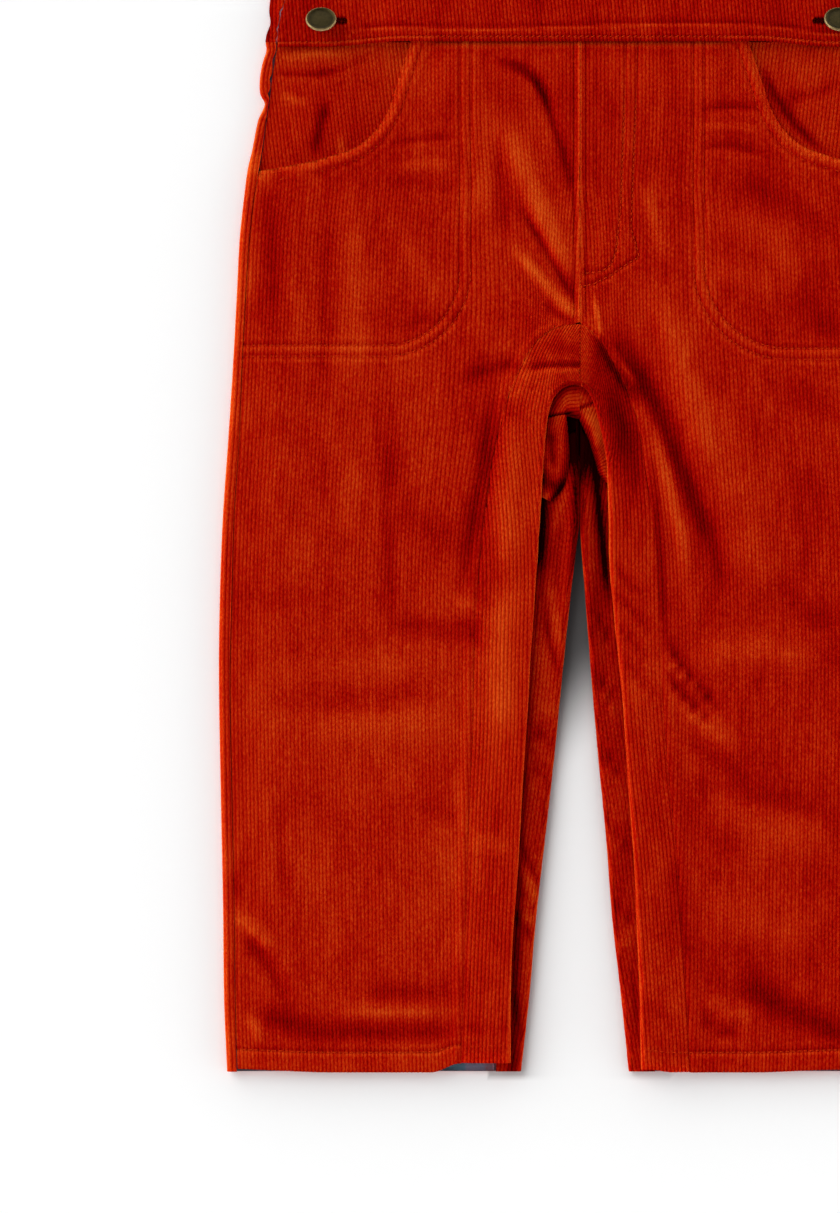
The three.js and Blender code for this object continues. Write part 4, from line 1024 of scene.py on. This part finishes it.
def turned_edge(side):
    s = SIGN[side]
    v = np.unique(np.r_[np.linspace(0, 0.5, 60), np.linspace(0.5, 1, 60)])
    seam = rail(TURNS[side], "seam_x", "seam_y", v)
    fold = rail(TURNS[side], "fold_x", "fold_y", v)
    out = fold - seam
    wide = np.linalg.norm(out, axis=1)
    out /= wide[:, None]
    seam = seam + out * SEAM_GAP
    reach = wide - TURN_RADIUS - HALF - SEAM_GAP
    step = PITCH / CORD_POINTS
    slip = curve(TURN_SLIP[side], "v", "slip", v)
    k = np.arange(math.floor(-slip.max() / step) - 1, math.ceil(reach.max() / step) + 1) * step
    d = np.clip(k[None, :] + slip[:, None], 0, reach[:, None])
    flat = seam[:, None] + out[:, None] * d[..., None]
    z = front_height(side, flat[..., 0], flat[..., 1])
    low = 1 - smooth(275, 335, seam[:, 1])[:, None]
    z -= 0.3 * low * np.exp(-((d / 0.9) ** 2))
    z += groove(flat[..., 1] - HEM_STITCH, 0.9, 0.5)
    top = np.concatenate([flat, z[..., None]], -1)
    across = d - slip[:, None]
    opened = 1 - smooth(244, 266, fold[:, 1])
    along, down, run, whole = curl(TURN_RADIUS, opened, ARCH_CURL)
    tail = mix(0.6, TURN_UNDER, opened ** 4)[:, None] * np.array([0.25, 0.5, 0.75, 1])
    along = np.c_[along, along[:, -1:] + tail * np.cos(whole)[:, None]]
    down = np.c_[down, down[:, -1:] + np.minimum(tail, 0.6) * np.sin(whole)[:, None]]
    run = np.c_[run, run[:, -1:] + tail]
    spot = seam[:, None] + out[:, None] * (reach[:, None] + along)[..., None]
    rolled = np.concatenate([spot, (z[:, -1:] - down)[..., None]], -1)
    middle = np.concatenate([top, rolled], 1)
    middle[..., 0] = s * np.maximum(0.05, s * middle[..., 0])
    middle[..., 1] = lifted(side, middle[..., 0], middle[..., 1])
    across = np.c_[across, across[:, -1:] + run]
    nap_and_shade = np.full(across.shape, 0.52)
    # painted shade: on the left, darker near the inseam and lighter towards the fold; on the right, darker near the
    # crotch; then the folds' painted shade and highlight, as on the front
    if side == "left":
        near_seam = 1 - 1.5 * smooth(0.25, 0.9, d / reach[:, None])
        nap_and_shade[:, :top.shape[1]] -= 0.07 * near_seam * (
            smooth(190, 240, seam[:, 1]) * (1 - smooth(318, 345, seam[:, 1])))[:, None]
    nap_and_shade -= TURN_SHADE[side] * (smooth(268, 330, seam[:, 1]) * (1 - smooth(352, 361, seam[:, 1])))[:, None]
    nap_and_shade[:, :top.shape[1]] += folds_at(FOLDS[side], "tone", flat[..., 0], flat[..., 1])
    nap_and_shade[:, :top.shape[1]] += (0.08 - 0.12 * low) * np.exp(-((d / 0.9) ** 2))
    piece = cloth(f"turned_edge_{side}", middle, across, nap_and_shade, flip=side == "left")
    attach(piece, "root")
    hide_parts(f"back_turn_{side}")


for side in SIGN:
    turned_edge(side)

# The pocket facings: plain pieces of the same cloth behind the pocket openings, with a few soft wrinkles whose creases
# carry painted shade and highlight.
FACING = rows_of(
    "y inner",
    (430, 150), (432, 138), (435, 123), (439, 110), (443, 101), (450, 93), (460, 87), (471, 83),
    (482, 79.5), (491, 77.4), (498.8, 76.4),
)
FACING_DROP = 0.2
FACING_LEAN = -0.12
LAYER = CLOTH + GAP
# the tone column paints shade into the creases, a painted shadow beside the right scoop edge, and highlight beside them
FACING_CREASES = {
    "left": rows_of(
        "x0 y0 x1 y1 bow width height tone",
        (-152, 483.5, -114, 485, 1, 1.6, -0.4, -0.14),
        (-148, 490, -112, 493, -1, 1.8, 0.2, 0.16),
        (-136, 480, -98, 494, 2, 2, -0.3, -0.1),
        (-121, 472, -129, 441, 1, 3.0, -0.35, -0.22),
        (-116, 455, -113, 438, 1, 2.0, 0.1, 0.14),
        (-146, 474, -130, 470, 1, 1.8, -0.2, 0.15),
    ),
    "right": rows_of(
        "x0 y0 x1 y1 bow width height tone",
        (87, 490, 124, 441, 5, 2.2, -0.4, -0.26),
        (96, 470, 130, 480, 2, 3, -0.3, -0.1),
    ),
}


def cord_grid(y, low, high, lean):
    """Points on the cords between two limits at each height; the cords lean sideways with height."""
    step = PITCH / CORD_POINTS
    first, last = math.floor((low - lean).min() / step), math.ceil((high - lean).max() / step)
    cords = np.arange(first, last + 1) * step
    x = np.clip(cords[None, :] + lean[:, None], low[:, None], high[:, None])
    return x, at_rows(y, x), x - lean[:, None]


def pocket_facing(side):
    s = SIGN[side]
    rows = np.linspace(430, 498.8, 36)
    high = curve(SIDES, "y", "seam", rows) - GAP / 2 - np.where(rows < POCKET_CORNER_Y, 1, 0)
    low = curve(FACING, "y", "inner", rows)
    x, y, across = cord_grid(rows, low, high, FACING_LEAN * (499 - rows))
    z = front_height(side, s * x, y) - LAYER - FACING_DROP
    z = z + folds_at(FACING_CREASES[side], "height", s * x, y)
    nap_and_shade = 0.51 + 0.07 * smooth(476, 490, y) + folds_at(FACING_CREASES[side], "tone", s * x, y)
    piece = cloth(f"pocket_cloth_{side}", np.stack([s * x, y, z], -1), across, nap_and_shade, flip=side == "left")
    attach(piece, "root")
    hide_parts(f"pocket_facing_{side}")


for side in SIGN:
    pocket_facing(side)

# The waistband: a doubled strip across the front with a worked buttonhole near each end.
BAND_TOP = 523
BAND_Z = 7.4
BAND_END_DROP = 1.8
SIDE_BUTTON = (125.2, 508.9)
SLOT_LENGTH = 16
SLOT_WIDTH = 1.8
BAND_STITCH = 2.2


def band_height(x):
    return BAND_Z - BAND_END_DROP * smooth(84, 102, np.abs(x))


def band_bottom(x):
    return WAIST_Y - 2.6 * smooth(86, 124, np.abs(x))


def cut_slot(piece, x, y, turned):
    turn = np.linspace(-math.pi / 2, math.pi / 2, 7)
    flat, r = SLOT_LENGTH / 2 - SLOT_WIDTH / 2, SLOT_WIDTH / 2
    ring = np.r_[
        np.stack([flat + r * np.cos(turn), r * np.sin(turn)], -1),
        np.stack([-flat - r * np.cos(turn), -r * np.sin(turn)], -1),
    ]
    if turned:
        ring = ring[:, ::-1] * (-1, 1)
    count = len(ring)
    ring = (ring + (x, y)) / 1000 + (0, HEM_Y)
    points = [(*p, z) for z in (-0.01, 0.03) for p in ring]
    if turned:
        points = [(*p, z) for z in (0.005, 0.03) for p in ring]
    sides = [(i, (i + 1) % count, count + (i + 1) % count, count + i) for i in range(count)]
    mesh = bpy.data.meshes.new("slot_cutter")
    mesh.from_pydata(points, [], [tuple(range(count))[::-1], tuple(range(count, 2 * count)), *sides])
    cutter = bpy.data.objects.new("slot_cutter", mesh)
    scene.collection.objects.link(cutter)
    cut = piece.modifiers.new("slot", "BOOLEAN")
    cut.operation, cut.solver, cut.object = "DIFFERENCE", "EXACT", cutter
    bake(piece)
    bpy.data.objects.remove(cutter)


def bake(piece):
    view = bpy.context.evaluated_depsgraph_get()
    made = bpy.data.meshes.new_from_object(piece.evaluated_get(view))
    piece.modifiers.clear()
    piece.data = made


def waistband():
    v = np.unique(np.r_[np.linspace(0, 5, 12), np.linspace(5, 20, 12), np.linspace(20, 24, 8)])
    rows = WAIST_Y + v
    high = curve(SIDES, "y", "seam", rows) - GAP / 2
    x, y, across = cord_grid(rows, -high, high, 0.10 * (BAND_TOP - rows))
    lower = band_bottom(x)
    y = lower + (y - WAIST_Y) * (BAND_TOP - lower) / (BAND_TOP - WAIST_Y)
    z = band_height(x) + 0 * x
    edge_drop = WAIST_DIP * (1 - smooth(66, 74, np.abs(x))) * (1 - smooth(0, 3.4, y - lower))
    z = z + groove(y - lower - BAND_STITCH, 0.7, 0.3) - 0.3 * np.exp(-(((y - lower) / 0.8) ** 2)) - edge_drop
    crease = y - lower - 8 - 1.2 * np.sin(x / 31)
    fade = smooth(-116, -100, x)
    z = z + groove(crease, 0.9, 0.35) * fade
    # lighter along the sewn row; painted shade in the crease and a painted highlight beside it
    nap_and_shade = 0.48 + 0.06 * np.exp(-(((y - lower - BAND_STITCH) / 1.0) ** 2)) 
    nap_and_shade += fade * (0.07 * np.exp(-(((crease + 1.6) / 0.9) ** 2)) - 0.10 * np.exp(-((crease / 0.8) ** 2)))
    piece = cloth("waistband_cloth", np.stack([x, y, z], -1), across, nap_and_shade, materials=[corduroy, corduroy])
    for s in SIGN.values():
        cut_slot(piece, s * (SIDE_BUTTON[0] - SLOT_LENGTH / 2 + 3.4), SIDE_BUTTON[1], False)
    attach(piece, "root")
    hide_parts("waistband_front")


waistband()

# The back of the waist: a casing drawn up on elastic, so that it is gathered all along.
GATHERS = 20
GATHER_HEIGHT = 1.4


def casing():
    rows = np.r_[WAIST_Y + GAP / 2, np.linspace(501, 522, 15), BAND_TOP]
    edge = curve(SIDES, "y", "outer", rows)
    x, y, across = cord_grid(rows, -edge, edge, 0 * rows)
    pinch = 0.35 + 0.65 * np.sin(math.pi * (y - WAIST_Y) / (BAND_TOP - WAIST_Y))
    wave = 0.5 - 0.5 * np.cos(2 * math.pi * GATHERS * (x / edge[:, None] + 1) / 2)
    top = CLOTH + GATHER_HEIGHT * pinch * wave
    outer = np.stack([x, y, top - 0.3 * (1 - cord_height(across))], -1)
    keep = np.unique(np.r_[np.arange(0, x.shape[1], CORD_POINTS), x.shape[1] - 1])
    inner = np.stack([x, y, 0 * x], -1)[:, keep]
    # painted light on the gathers: lighter on their crests and darker in their hollows
    nap_and_shade = 0.4 + 0.15 * wave
    piece = shell("waist_casing", outer, inner, keep, across, y, nap_and_shade, [corduroy, corduroy], False)
    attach(piece, "root")
    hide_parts("waistband_back")


casing()

# The bib and the smaller bib at the back: plain pieces of the same cloth, hidden or cut off in the picture.
BIB = rows_of(
    "y half",
    (519, 98), (530, 94), (550, 87), (575, 81.5), (600, 78), (630, 76), (655, 75), (671, 75),
)
BACK_BIB = rows_of("y half", (523.3, 96), (545, 85), (575, 76), (610, 72), (640, 70.5), (660, 70))
BIB_TOP = 671
BIB_Z = 6.1
BIB_SWELL = 0.4
BACK_BIB_TOP = 660


def bib_height(x, y):
    low = band_height(x) - LAYER
    swell = BIB_SWELL * np.sin((y - BAND_TOP) / 30) * np.cos(x / 34)
    return mix(low, BIB_Z + swell, smooth(BAND_TOP, BAND_TOP + 34, y))


def bibs():
    for name, table, solid, top in (
        ("bib_cloth", BIB, "bib_front", BIB_TOP),
        ("back_bib_cloth", BACK_BIB, "bib_back", BACK_BIB_TOP),
    ):
        front = solid == "bib_front"
        rows = np.unique(np.r_[np.linspace(table["y"][0], top - 16, 34), np.linspace(top - 16, top, 16)])
        half = curve(table, "y", "half", rows)
        x, y, across = cord_grid(rows, -half, half, 0 * rows)
        z = bib_height(x, y) if front else FLOOR_Z + 0 * x
        turned = -1 if front else 1
        hem = np.minimum(half[:, None] - np.abs(x), top - y)
        z = z - (0.35 * np.exp(-((hem - 9) ** 2)) + 0.3 * np.exp(-((hem / 0.9) ** 2))) * -turned
        nap_and_shade = 0.5 - 0.1 * np.exp(-((hem - 9) ** 2))
        piece = cloth(name, np.stack([x, y, z], -1), across, nap_and_shade, flip=not front)
        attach(piece, "root")
        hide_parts(solid)


bibs()

# The straps: doubled cloth, sewn on the back bib, folded at the shoulder and buttoned to the bib.
LENGTH = 744
STRAP_WIDTH = 30
STRAP_CLOTH = 2.4
STRAP_X = 54
STRAP_END_Y = 636
STRAP_HIGH_Z = 5.4
STRAP_ON_BIB_Z = BIB_Z + BIB_SWELL + HALF + GAP + STRAP_CLOTH / 2
STRAP_BUTTON_Y = 651


def strap(side):
    low, high = STRAP_CLOTH / 2, STRAP_HIGH_Z
    on_back, on_bib = CLOTH + GAP + low, STRAP_ON_BIB_Z
    radius = (high - low) / 2
    fold_y = LENGTH - radius - low
    turn = np.linspace(0, math.pi, 11)
    knots = np.array([
        (BACK_BIB_TOP - 22, on_back), (BACK_BIB_TOP - 11, on_back), (BACK_BIB_TOP + 1, on_back),
        (BACK_BIB_TOP + 7, mix(on_back, low, 0.5)), (BACK_BIB_TOP + 14, low), (BACK_BIB_TOP + 40, low),
        (fold_y - 12, low),
        *zip(fold_y + radius * np.sin(turn), low + radius * (1 - np.cos(turn))),
        (fold_y - 14, high), (BIB_TOP + 36, high), (BIB_TOP + 16, mix(high, on_bib, 0.4)),
        (BIB_TOP + 4, on_bib), (BIB_TOP - 8, on_bib), (BIB_TOP - 22, on_bib), (STRAP_END_Y + 3, on_bib),
        (STRAP_END_Y, on_bib),
    ])
    width = np.full(len(knots), STRAP_WIDTH / 2)
    width[-1] *= 0.84
    run = np.r_[0, np.cumsum(np.hypot(*np.diff(knots, axis=0).T))]
    fine = np.unique(np.round(np.r_[run, np.linspace(0, run[-1], 60)], 4))
    y, z, half = (np.interp(fine, run, v) for v in (knots[:, 0], knots[:, 1], width))
    x, _, across = cord_grid(y, -half, half, 0 * y)
    middle = np.stack([SIGN[side] * STRAP_X + x, at_rows(y, x), at_rows(z, x)], -1)
    piece = cloth(f"strap_cloth_{side}", middle, across, thickness=STRAP_CLOTH,
                  materials=[corduroy, corduroy], flip=True)
    cut_slot(piece, SIGN[side] * STRAP_X, STRAP_BUTTON_Y + SLOT_LENGTH / 2 - 3.4, True)
    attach(piece, "root")
    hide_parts(f"strap_{side}")


for side in SIGN:
    strap(side)

# The lining: flannel that shows only inside the leg hems and along the hip openings.
HEM_LININGS = {"left": (-100, -41.5), "right": (37.8, 96)}


def linings(side):
    s = SIGN[side]
    low, high = HEM_LININGS[side]
    rows = np.linspace(0.4, 21, 12)
    across = np.linspace(low, high, 60)
    x, y = np.meshgrid(across, rows)
    z = np.full(x.shape, CLOTH + GAP + LINING / 2)
    hem = cloth(f"hem_flannel_{side}", np.stack([x, y, z], -1), x, thickness=LINING, pile=0.0,
                materials=[flannel, flannel])
    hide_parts(f"hem_lining_{side}")
    rows = np.linspace(474, 522, 73)
    edge = curve(SIDES, "y", "seam", rows) + GAP / 2
    shows = np.clip(sum(np.exp(-(((rows - at) / half) ** 2)) for at, half in LINING_BITS), 0, 1)
    x = edge[:, None] - 0.9 * (1 - shows)[:, None] + np.array([0, 0.35, 0.7])
    z = at_rows(np.where(rows < WAIST_Y, 2.15, 3.9), x)
    edging = cloth(f"opening_flannel_{side}", np.stack([s * x, at_rows(rows, x), z], -1), x,
                   thickness=0.6, pile=0.0, materials=[flannel, flannel], flip=side == "left")
    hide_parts(f"side_lining_{side}")
    for piece in (hem, edging):
        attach(piece, "root")


for side in SIGN:
    linings(side)

# The buttons: tack buttons of antique brass, a domed head with a bright rolled rim on a riveted shank.
BUTTON_RADIUS = 7.5
BUTTON_RIM = 1.8
SHANK_RADIUS = 1.9
BUTTON_TILT = math.radians(36)


def make_brass():
    material = bpy.data.materials.new("antique_brass")
    material.use_nodes = True
    tree = material.node_tree
    shader = tree.nodes["Principled BSDF"]
    place = tree.nodes.new("ShaderNodeTexCoord")
    worn = tree.nodes.new("ShaderNodeAttribute")
    worn.attribute_name = "worn"
    mottle = noise(tree, place.outputs["Object"], (700, 700, 700), detail=4)
    amount = math_node(tree, "MULTIPLY_ADD", mottle, 0.5, math_node(tree, "SUBTRACT", worn.outputs["Fac"], 0.25))
    colour = ramp(tree, amount, ((0.0, (0.010, 0.008, 0.003)), (0.5, (0.045, 0.034, 0.012)), (1.0, (0.42, 0.30, 0.14))))
    tree.links.new(colour, shader.inputs["Base Color"])
    shader.inputs["Metallic"].default_value = 1
    tree.links.new(math_node(tree, "MULTIPLY_ADD", mottle, 0.25, 0.38), shader.inputs["Roughness"])
    return material


brass = make_brass()


def button(name, solid, x, y, bottom, level, tilt):
    profile = np.array([
        (0, -0.9), (6.6, -0.9), (7.2, -0.6), (7.5, 0), (7.35, 0.55), (7.0, 0.86), (6.6, 0.9), (6.2, 0.72),
        (5.9, 0.5), (5.5, 0.42), (4.2, 0.55), (2.4, 0.7), (0, 0.76),
    ])
    worn = np.array([0.2, 0.2, 0.5, 0.8, 0.8, 0.7, 0.35, 0.3, 0.2, 0.1, 0.2, 0.25, 0.25])
    count = 64
    turn = np.linspace(0, 2 * math.pi, count, endpoint=False)
    points, wear, faces = [], [], []
    for (r, z), w in zip(profile, worn):
        ring = 1 if r == 0 else count
        points += [(r * math.cos(a), r * math.sin(a), z) for a in turn[:ring]]
        wear += [w] * ring
    ids, at = [], 0
    for r, _ in profile:
        ring = 1 if r == 0 else count
        ids.append([at + (i % ring) for i in range(count)])
        at += ring
    for a, b in zip(ids[:-1], ids[1:]):
        for i in range(count):
            j = (i + 1) % count
            face = [a[i], a[j], b[j], b[i]]
            faces.append(tuple(dict.fromkeys(face)))
    points = np.array(points)
    centre_z = level + GAP + BUTTON_RADIUS * math.sin(tilt) + BUTTON_RIM / 2 * math.cos(tilt)
    sin, cos = math.sin(-tilt), math.cos(-tilt)
    points = np.stack([
        points[:, 0] + x,
        cos * points[:, 1] - sin * points[:, 2] + y,
        sin * points[:, 1] + cos * points[:, 2] + centre_z,
    ], -1)
    start = len(points)
    shank = [(x + SHANK_RADIUS * math.cos(a), y + SHANK_RADIUS * math.sin(a), z)
             for z in (bottom, centre_z - 0.3) for a in turn[::4]]
    ring = len(turn[::4])
    faces.append(tuple(start + i for i in range(ring))[::-1])
    faces.append(tuple(start + ring + i for i in range(ring)))
    faces += [(start + i, start + (i + 1) % ring, start + ring + (i + 1) % ring, start + ring + i) for i in range(ring)]
    points = np.r_[points, np.array(shank)] / 1000
    points[:, 1] += HEM_Y
    mesh = bpy.data.meshes.new(name)
    mesh.from_pydata(points.tolist(), [], faces)
    mesh.attributes.new("worn", "FLOAT", "POINT").data.foreach_set("value", wear + [0.1] * (2 * ring))
    mesh.materials.append(brass)
    mesh.shade_smooth()
    piece = bpy.data.objects.new(name, mesh)
    scene.collection.objects.link(piece)
    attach(piece, "root")
    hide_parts(solid)


for side, s in SIGN.items():
    button(f"waist_button_{side}", f"side_button_{side}", s * SIDE_BUTTON[0], SIDE_BUTTON[1],
           CLOTH + GATHER_HEIGHT + GAP, float(band_height(SIDE_BUTTON[0])) + HALF, BUTTON_TILT)
    button(f"bib_button_{side}", f"strap_button_{side}", s * STRAP_X, STRAP_BUTTON_Y,
           float(bib_height(STRAP_X, STRAP_BUTTON_Y)) + HALF + GAP, STRAP_ON_BIB_Z + STRAP_CLOTH / 2, 0.0)

# The sewing: rows of topstitching in a thread a little lighter than the cloth, lying in the pressed rows.
# A node group sets one small rounded stitch on each point of a row, turned along it.
STITCH_LENGTH = 2.1
STITCH_EVERY = 2.9
THREAD = 0.5
THREAD_SINK = 0.32


def make_thread():
    material = bpy.data.materials.new("cotton_thread")
    material.use_nodes = True
    tree = material.node_tree
    shader = tree.nodes["Principled BSDF"]
    place = tree.nodes.new("ShaderNodeTexCoord")
    ply = noise(tree, place.outputs["Object"], (2200, 2200, 2200), detail=1)
    colour = ramp(tree, ply, ((0.3, (0.34, 0.008, 0.001)), (0.7, (0.52, 0.035, 0.004))))
    tree.links.new(colour, shader.inputs["Base Color"])
    shader.inputs["Roughness"].default_value = 0.9
    shader.inputs["Specular IOR Level"].default_value = 0.0
    return material


thread = make_thread()


def make_stitching():
    tree = bpy.data.node_groups.new("stitching", "GeometryNodeTree")
    tree.interface.new_socket("Row", in_out="INPUT", socket_type="NodeSocketGeometry")
    tree.interface.new_socket("Length", in_out="INPUT", socket_type="NodeSocketFloat")
    tree.interface.new_socket("Thickness", in_out="INPUT", socket_type="NodeSocketFloat")
    tree.interface.new_socket("Stitches", in_out="OUTPUT", socket_type="NodeSocketGeometry")
    made = {}
    for name, kind in (
        ("in", "NodeGroupInput"), ("out", "NodeGroupOutput"), ("bead", "GeometryNodeMeshUVSphere"),
        ("size", "ShaderNodeCombineXYZ"), ("along", "GeometryNodeInputNamedAttribute"),
        ("turn", "FunctionNodeAlignRotationToVector"), ("place", "GeometryNodeInstanceOnPoints"),
        ("real", "GeometryNodeRealizeInstances"), ("soft", "GeometryNodeSetShadeSmooth"),
        ("paint", "GeometryNodeSetMaterial"),
    ):
        made[name] = tree.nodes.new(kind)
    made["bead"].inputs["Segments"].default_value = 6
    made["bead"].inputs["Rings"].default_value = 5
    made["bead"].inputs["Radius"].default_value = 0.5
    made["along"].data_type = "FLOAT_VECTOR"
    made["along"].inputs["Name"].default_value = "along"
    made["turn"].axis = "X"
    made["paint"].inputs["Material"].default_value = thread
    link = tree.links.new
    link(made["in"].outputs["Row"], made["place"].inputs["Points"])
    link(made["bead"].outputs["Mesh"], made["place"].inputs["Instance"])
    link(made["along"].outputs["Attribute"], made["turn"].inputs["Vector"])
    link(made["turn"].outputs["Rotation"], made["place"].inputs["Rotation"])
    link(made["in"].outputs["Length"], made["size"].inputs["X"])
    link(made["in"].outputs["Thickness"], made["size"].inputs["Y"])
    link(made["in"].outputs["Thickness"], made["size"].inputs["Z"])
    link(made["size"].outputs[0], made["place"].inputs["Scale"])
    link(made["place"].outputs["Instances"], made["real"].inputs["Geometry"])
    link(made["real"].outputs["Geometry"], made["soft"].inputs["Geometry"])
    link(made["soft"].outputs["Geometry"], made["paint"].inputs["Geometry"])
    link(made["paint"].outputs["Geometry"], made["out"].inputs["Stitches"])
    return tree


stitching = make_stitching()


def stitch(name, rows, slant=0.0):
    """Each row is (path, height): a path over the cloth and a function that gives the surface there, in mm."""
    spots, ways = [], []
    for path, surface in rows:
        path = np.asarray(path, float)
        run = np.r_[0, np.cumsum(np.linalg.norm(np.diff(path, axis=0), axis=1))]
        at = np.arange(STITCH_EVERY / 2, run[-1], STITCH_EVERY)
        ends = []
        for shift in (-0.5, 0.5):
            x, y = (np.interp(at + shift * STITCH_LENGTH, run, path[:, k]) for k in (0, 1))
            ends.append(surface(x, y))
        way = ends[1] - ends[0]
        way = np.stack([way[:, 0] - slant * way[:, 1], way[:, 1] + slant * way[:, 0], way[:, 2]], -1)
        spots.append((ends[0] + ends[1]) / 2)
        ways.append(way)
    spots = np.concatenate(spots) / 1000
    spots[:, 1] += HEM_Y
    mesh = bpy.data.meshes.new(name)
    mesh.from_pydata(spots.tolist(), [], [])
    mesh.attributes.new("along", "FLOAT_VECTOR", "POINT").data.foreach_set("vector", np.concatenate(ways).reshape(-1))
    piece = bpy.data.objects.new(name, mesh)
    scene.collection.objects.link(piece)
    sewn = piece.modifiers.new("stitching", "NODES")
    sewn.node_group = stitching
    sizes = {"Length": STITCH_LENGTH / 1000, "Thickness": THREAD / 1000}
    for item in stitching.interface.items_tree:
        if item.name in sizes:
            sewn[item.identifier] = sizes[item.name]
    bake(piece)
    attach(piece, "root")


def on_front(side):
    def surface(x, y):
        z = front_height(side, x, y) + HALF - THREAD_SINK
        return np.stack([x, lifted(side, x, y), z], -1)
    return surface


def on_band(x, y):
    return np.stack([x, y, band_height(x) + HALF - THREAD_SINK], -1)


def on_bib(x, y):
    return np.stack([x, y, bib_height(x, y) + HALF - THREAD_SINK], -1)


for side, s in SIGN.items():
    surface = on_front(side)
    rows = [(path[path[:, 1] < 497], surface) for path in sewn_rows(side).values()]
    far = curve(SIDES, "y", "seam", HEM_STITCH) - 1.5
    fold = np.abs(fold_edge(side, HEM_STITCH)) + 3
    hem_row = [(s * fold, HEM_STITCH), (s * far, HEM_STITCH)]
    if side == "left":  # the row climbs over the turned edge
        hem_row[1:1] = [(-57.6, HEM_STITCH - 1.4), (-67.3, HEM_STITCH + 0.4), (-88, HEM_STITCH)]
    rows.append((hem_row, surface))
    if side == "right":
        rows += [(FLY_ROWS[name], surface) for name in ("inner", "outer")]
        rows.append(([(0.9, 360), (0.9, 330)], surface))
    stitch(f"stitches_{side}", rows)

across_band = np.linspace(-140, 140, 90)
stitch("stitches_band", [(np.stack([across_band, band_bottom(across_band) + BAND_STITCH], -1), on_band)], slant=0.5)
edge_of_bib = np.linspace(532, BIB_TOP - 9, 20)
half_bib = curve(BIB, "y", "half", edge_of_bib) - 9
stitch("stitches_bib", [
    (np.stack([-half_bib, edge_of_bib], -1), on_bib), (np.stack([half_bib, edge_of_bib], -1), on_bib),
    ([(-half_bib[-1], BIB_TOP - 9), (half_bib[-1], BIB_TOP - 9)], on_bib),
])

[[list(corner) for corner in box] for box in (cad_box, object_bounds())]
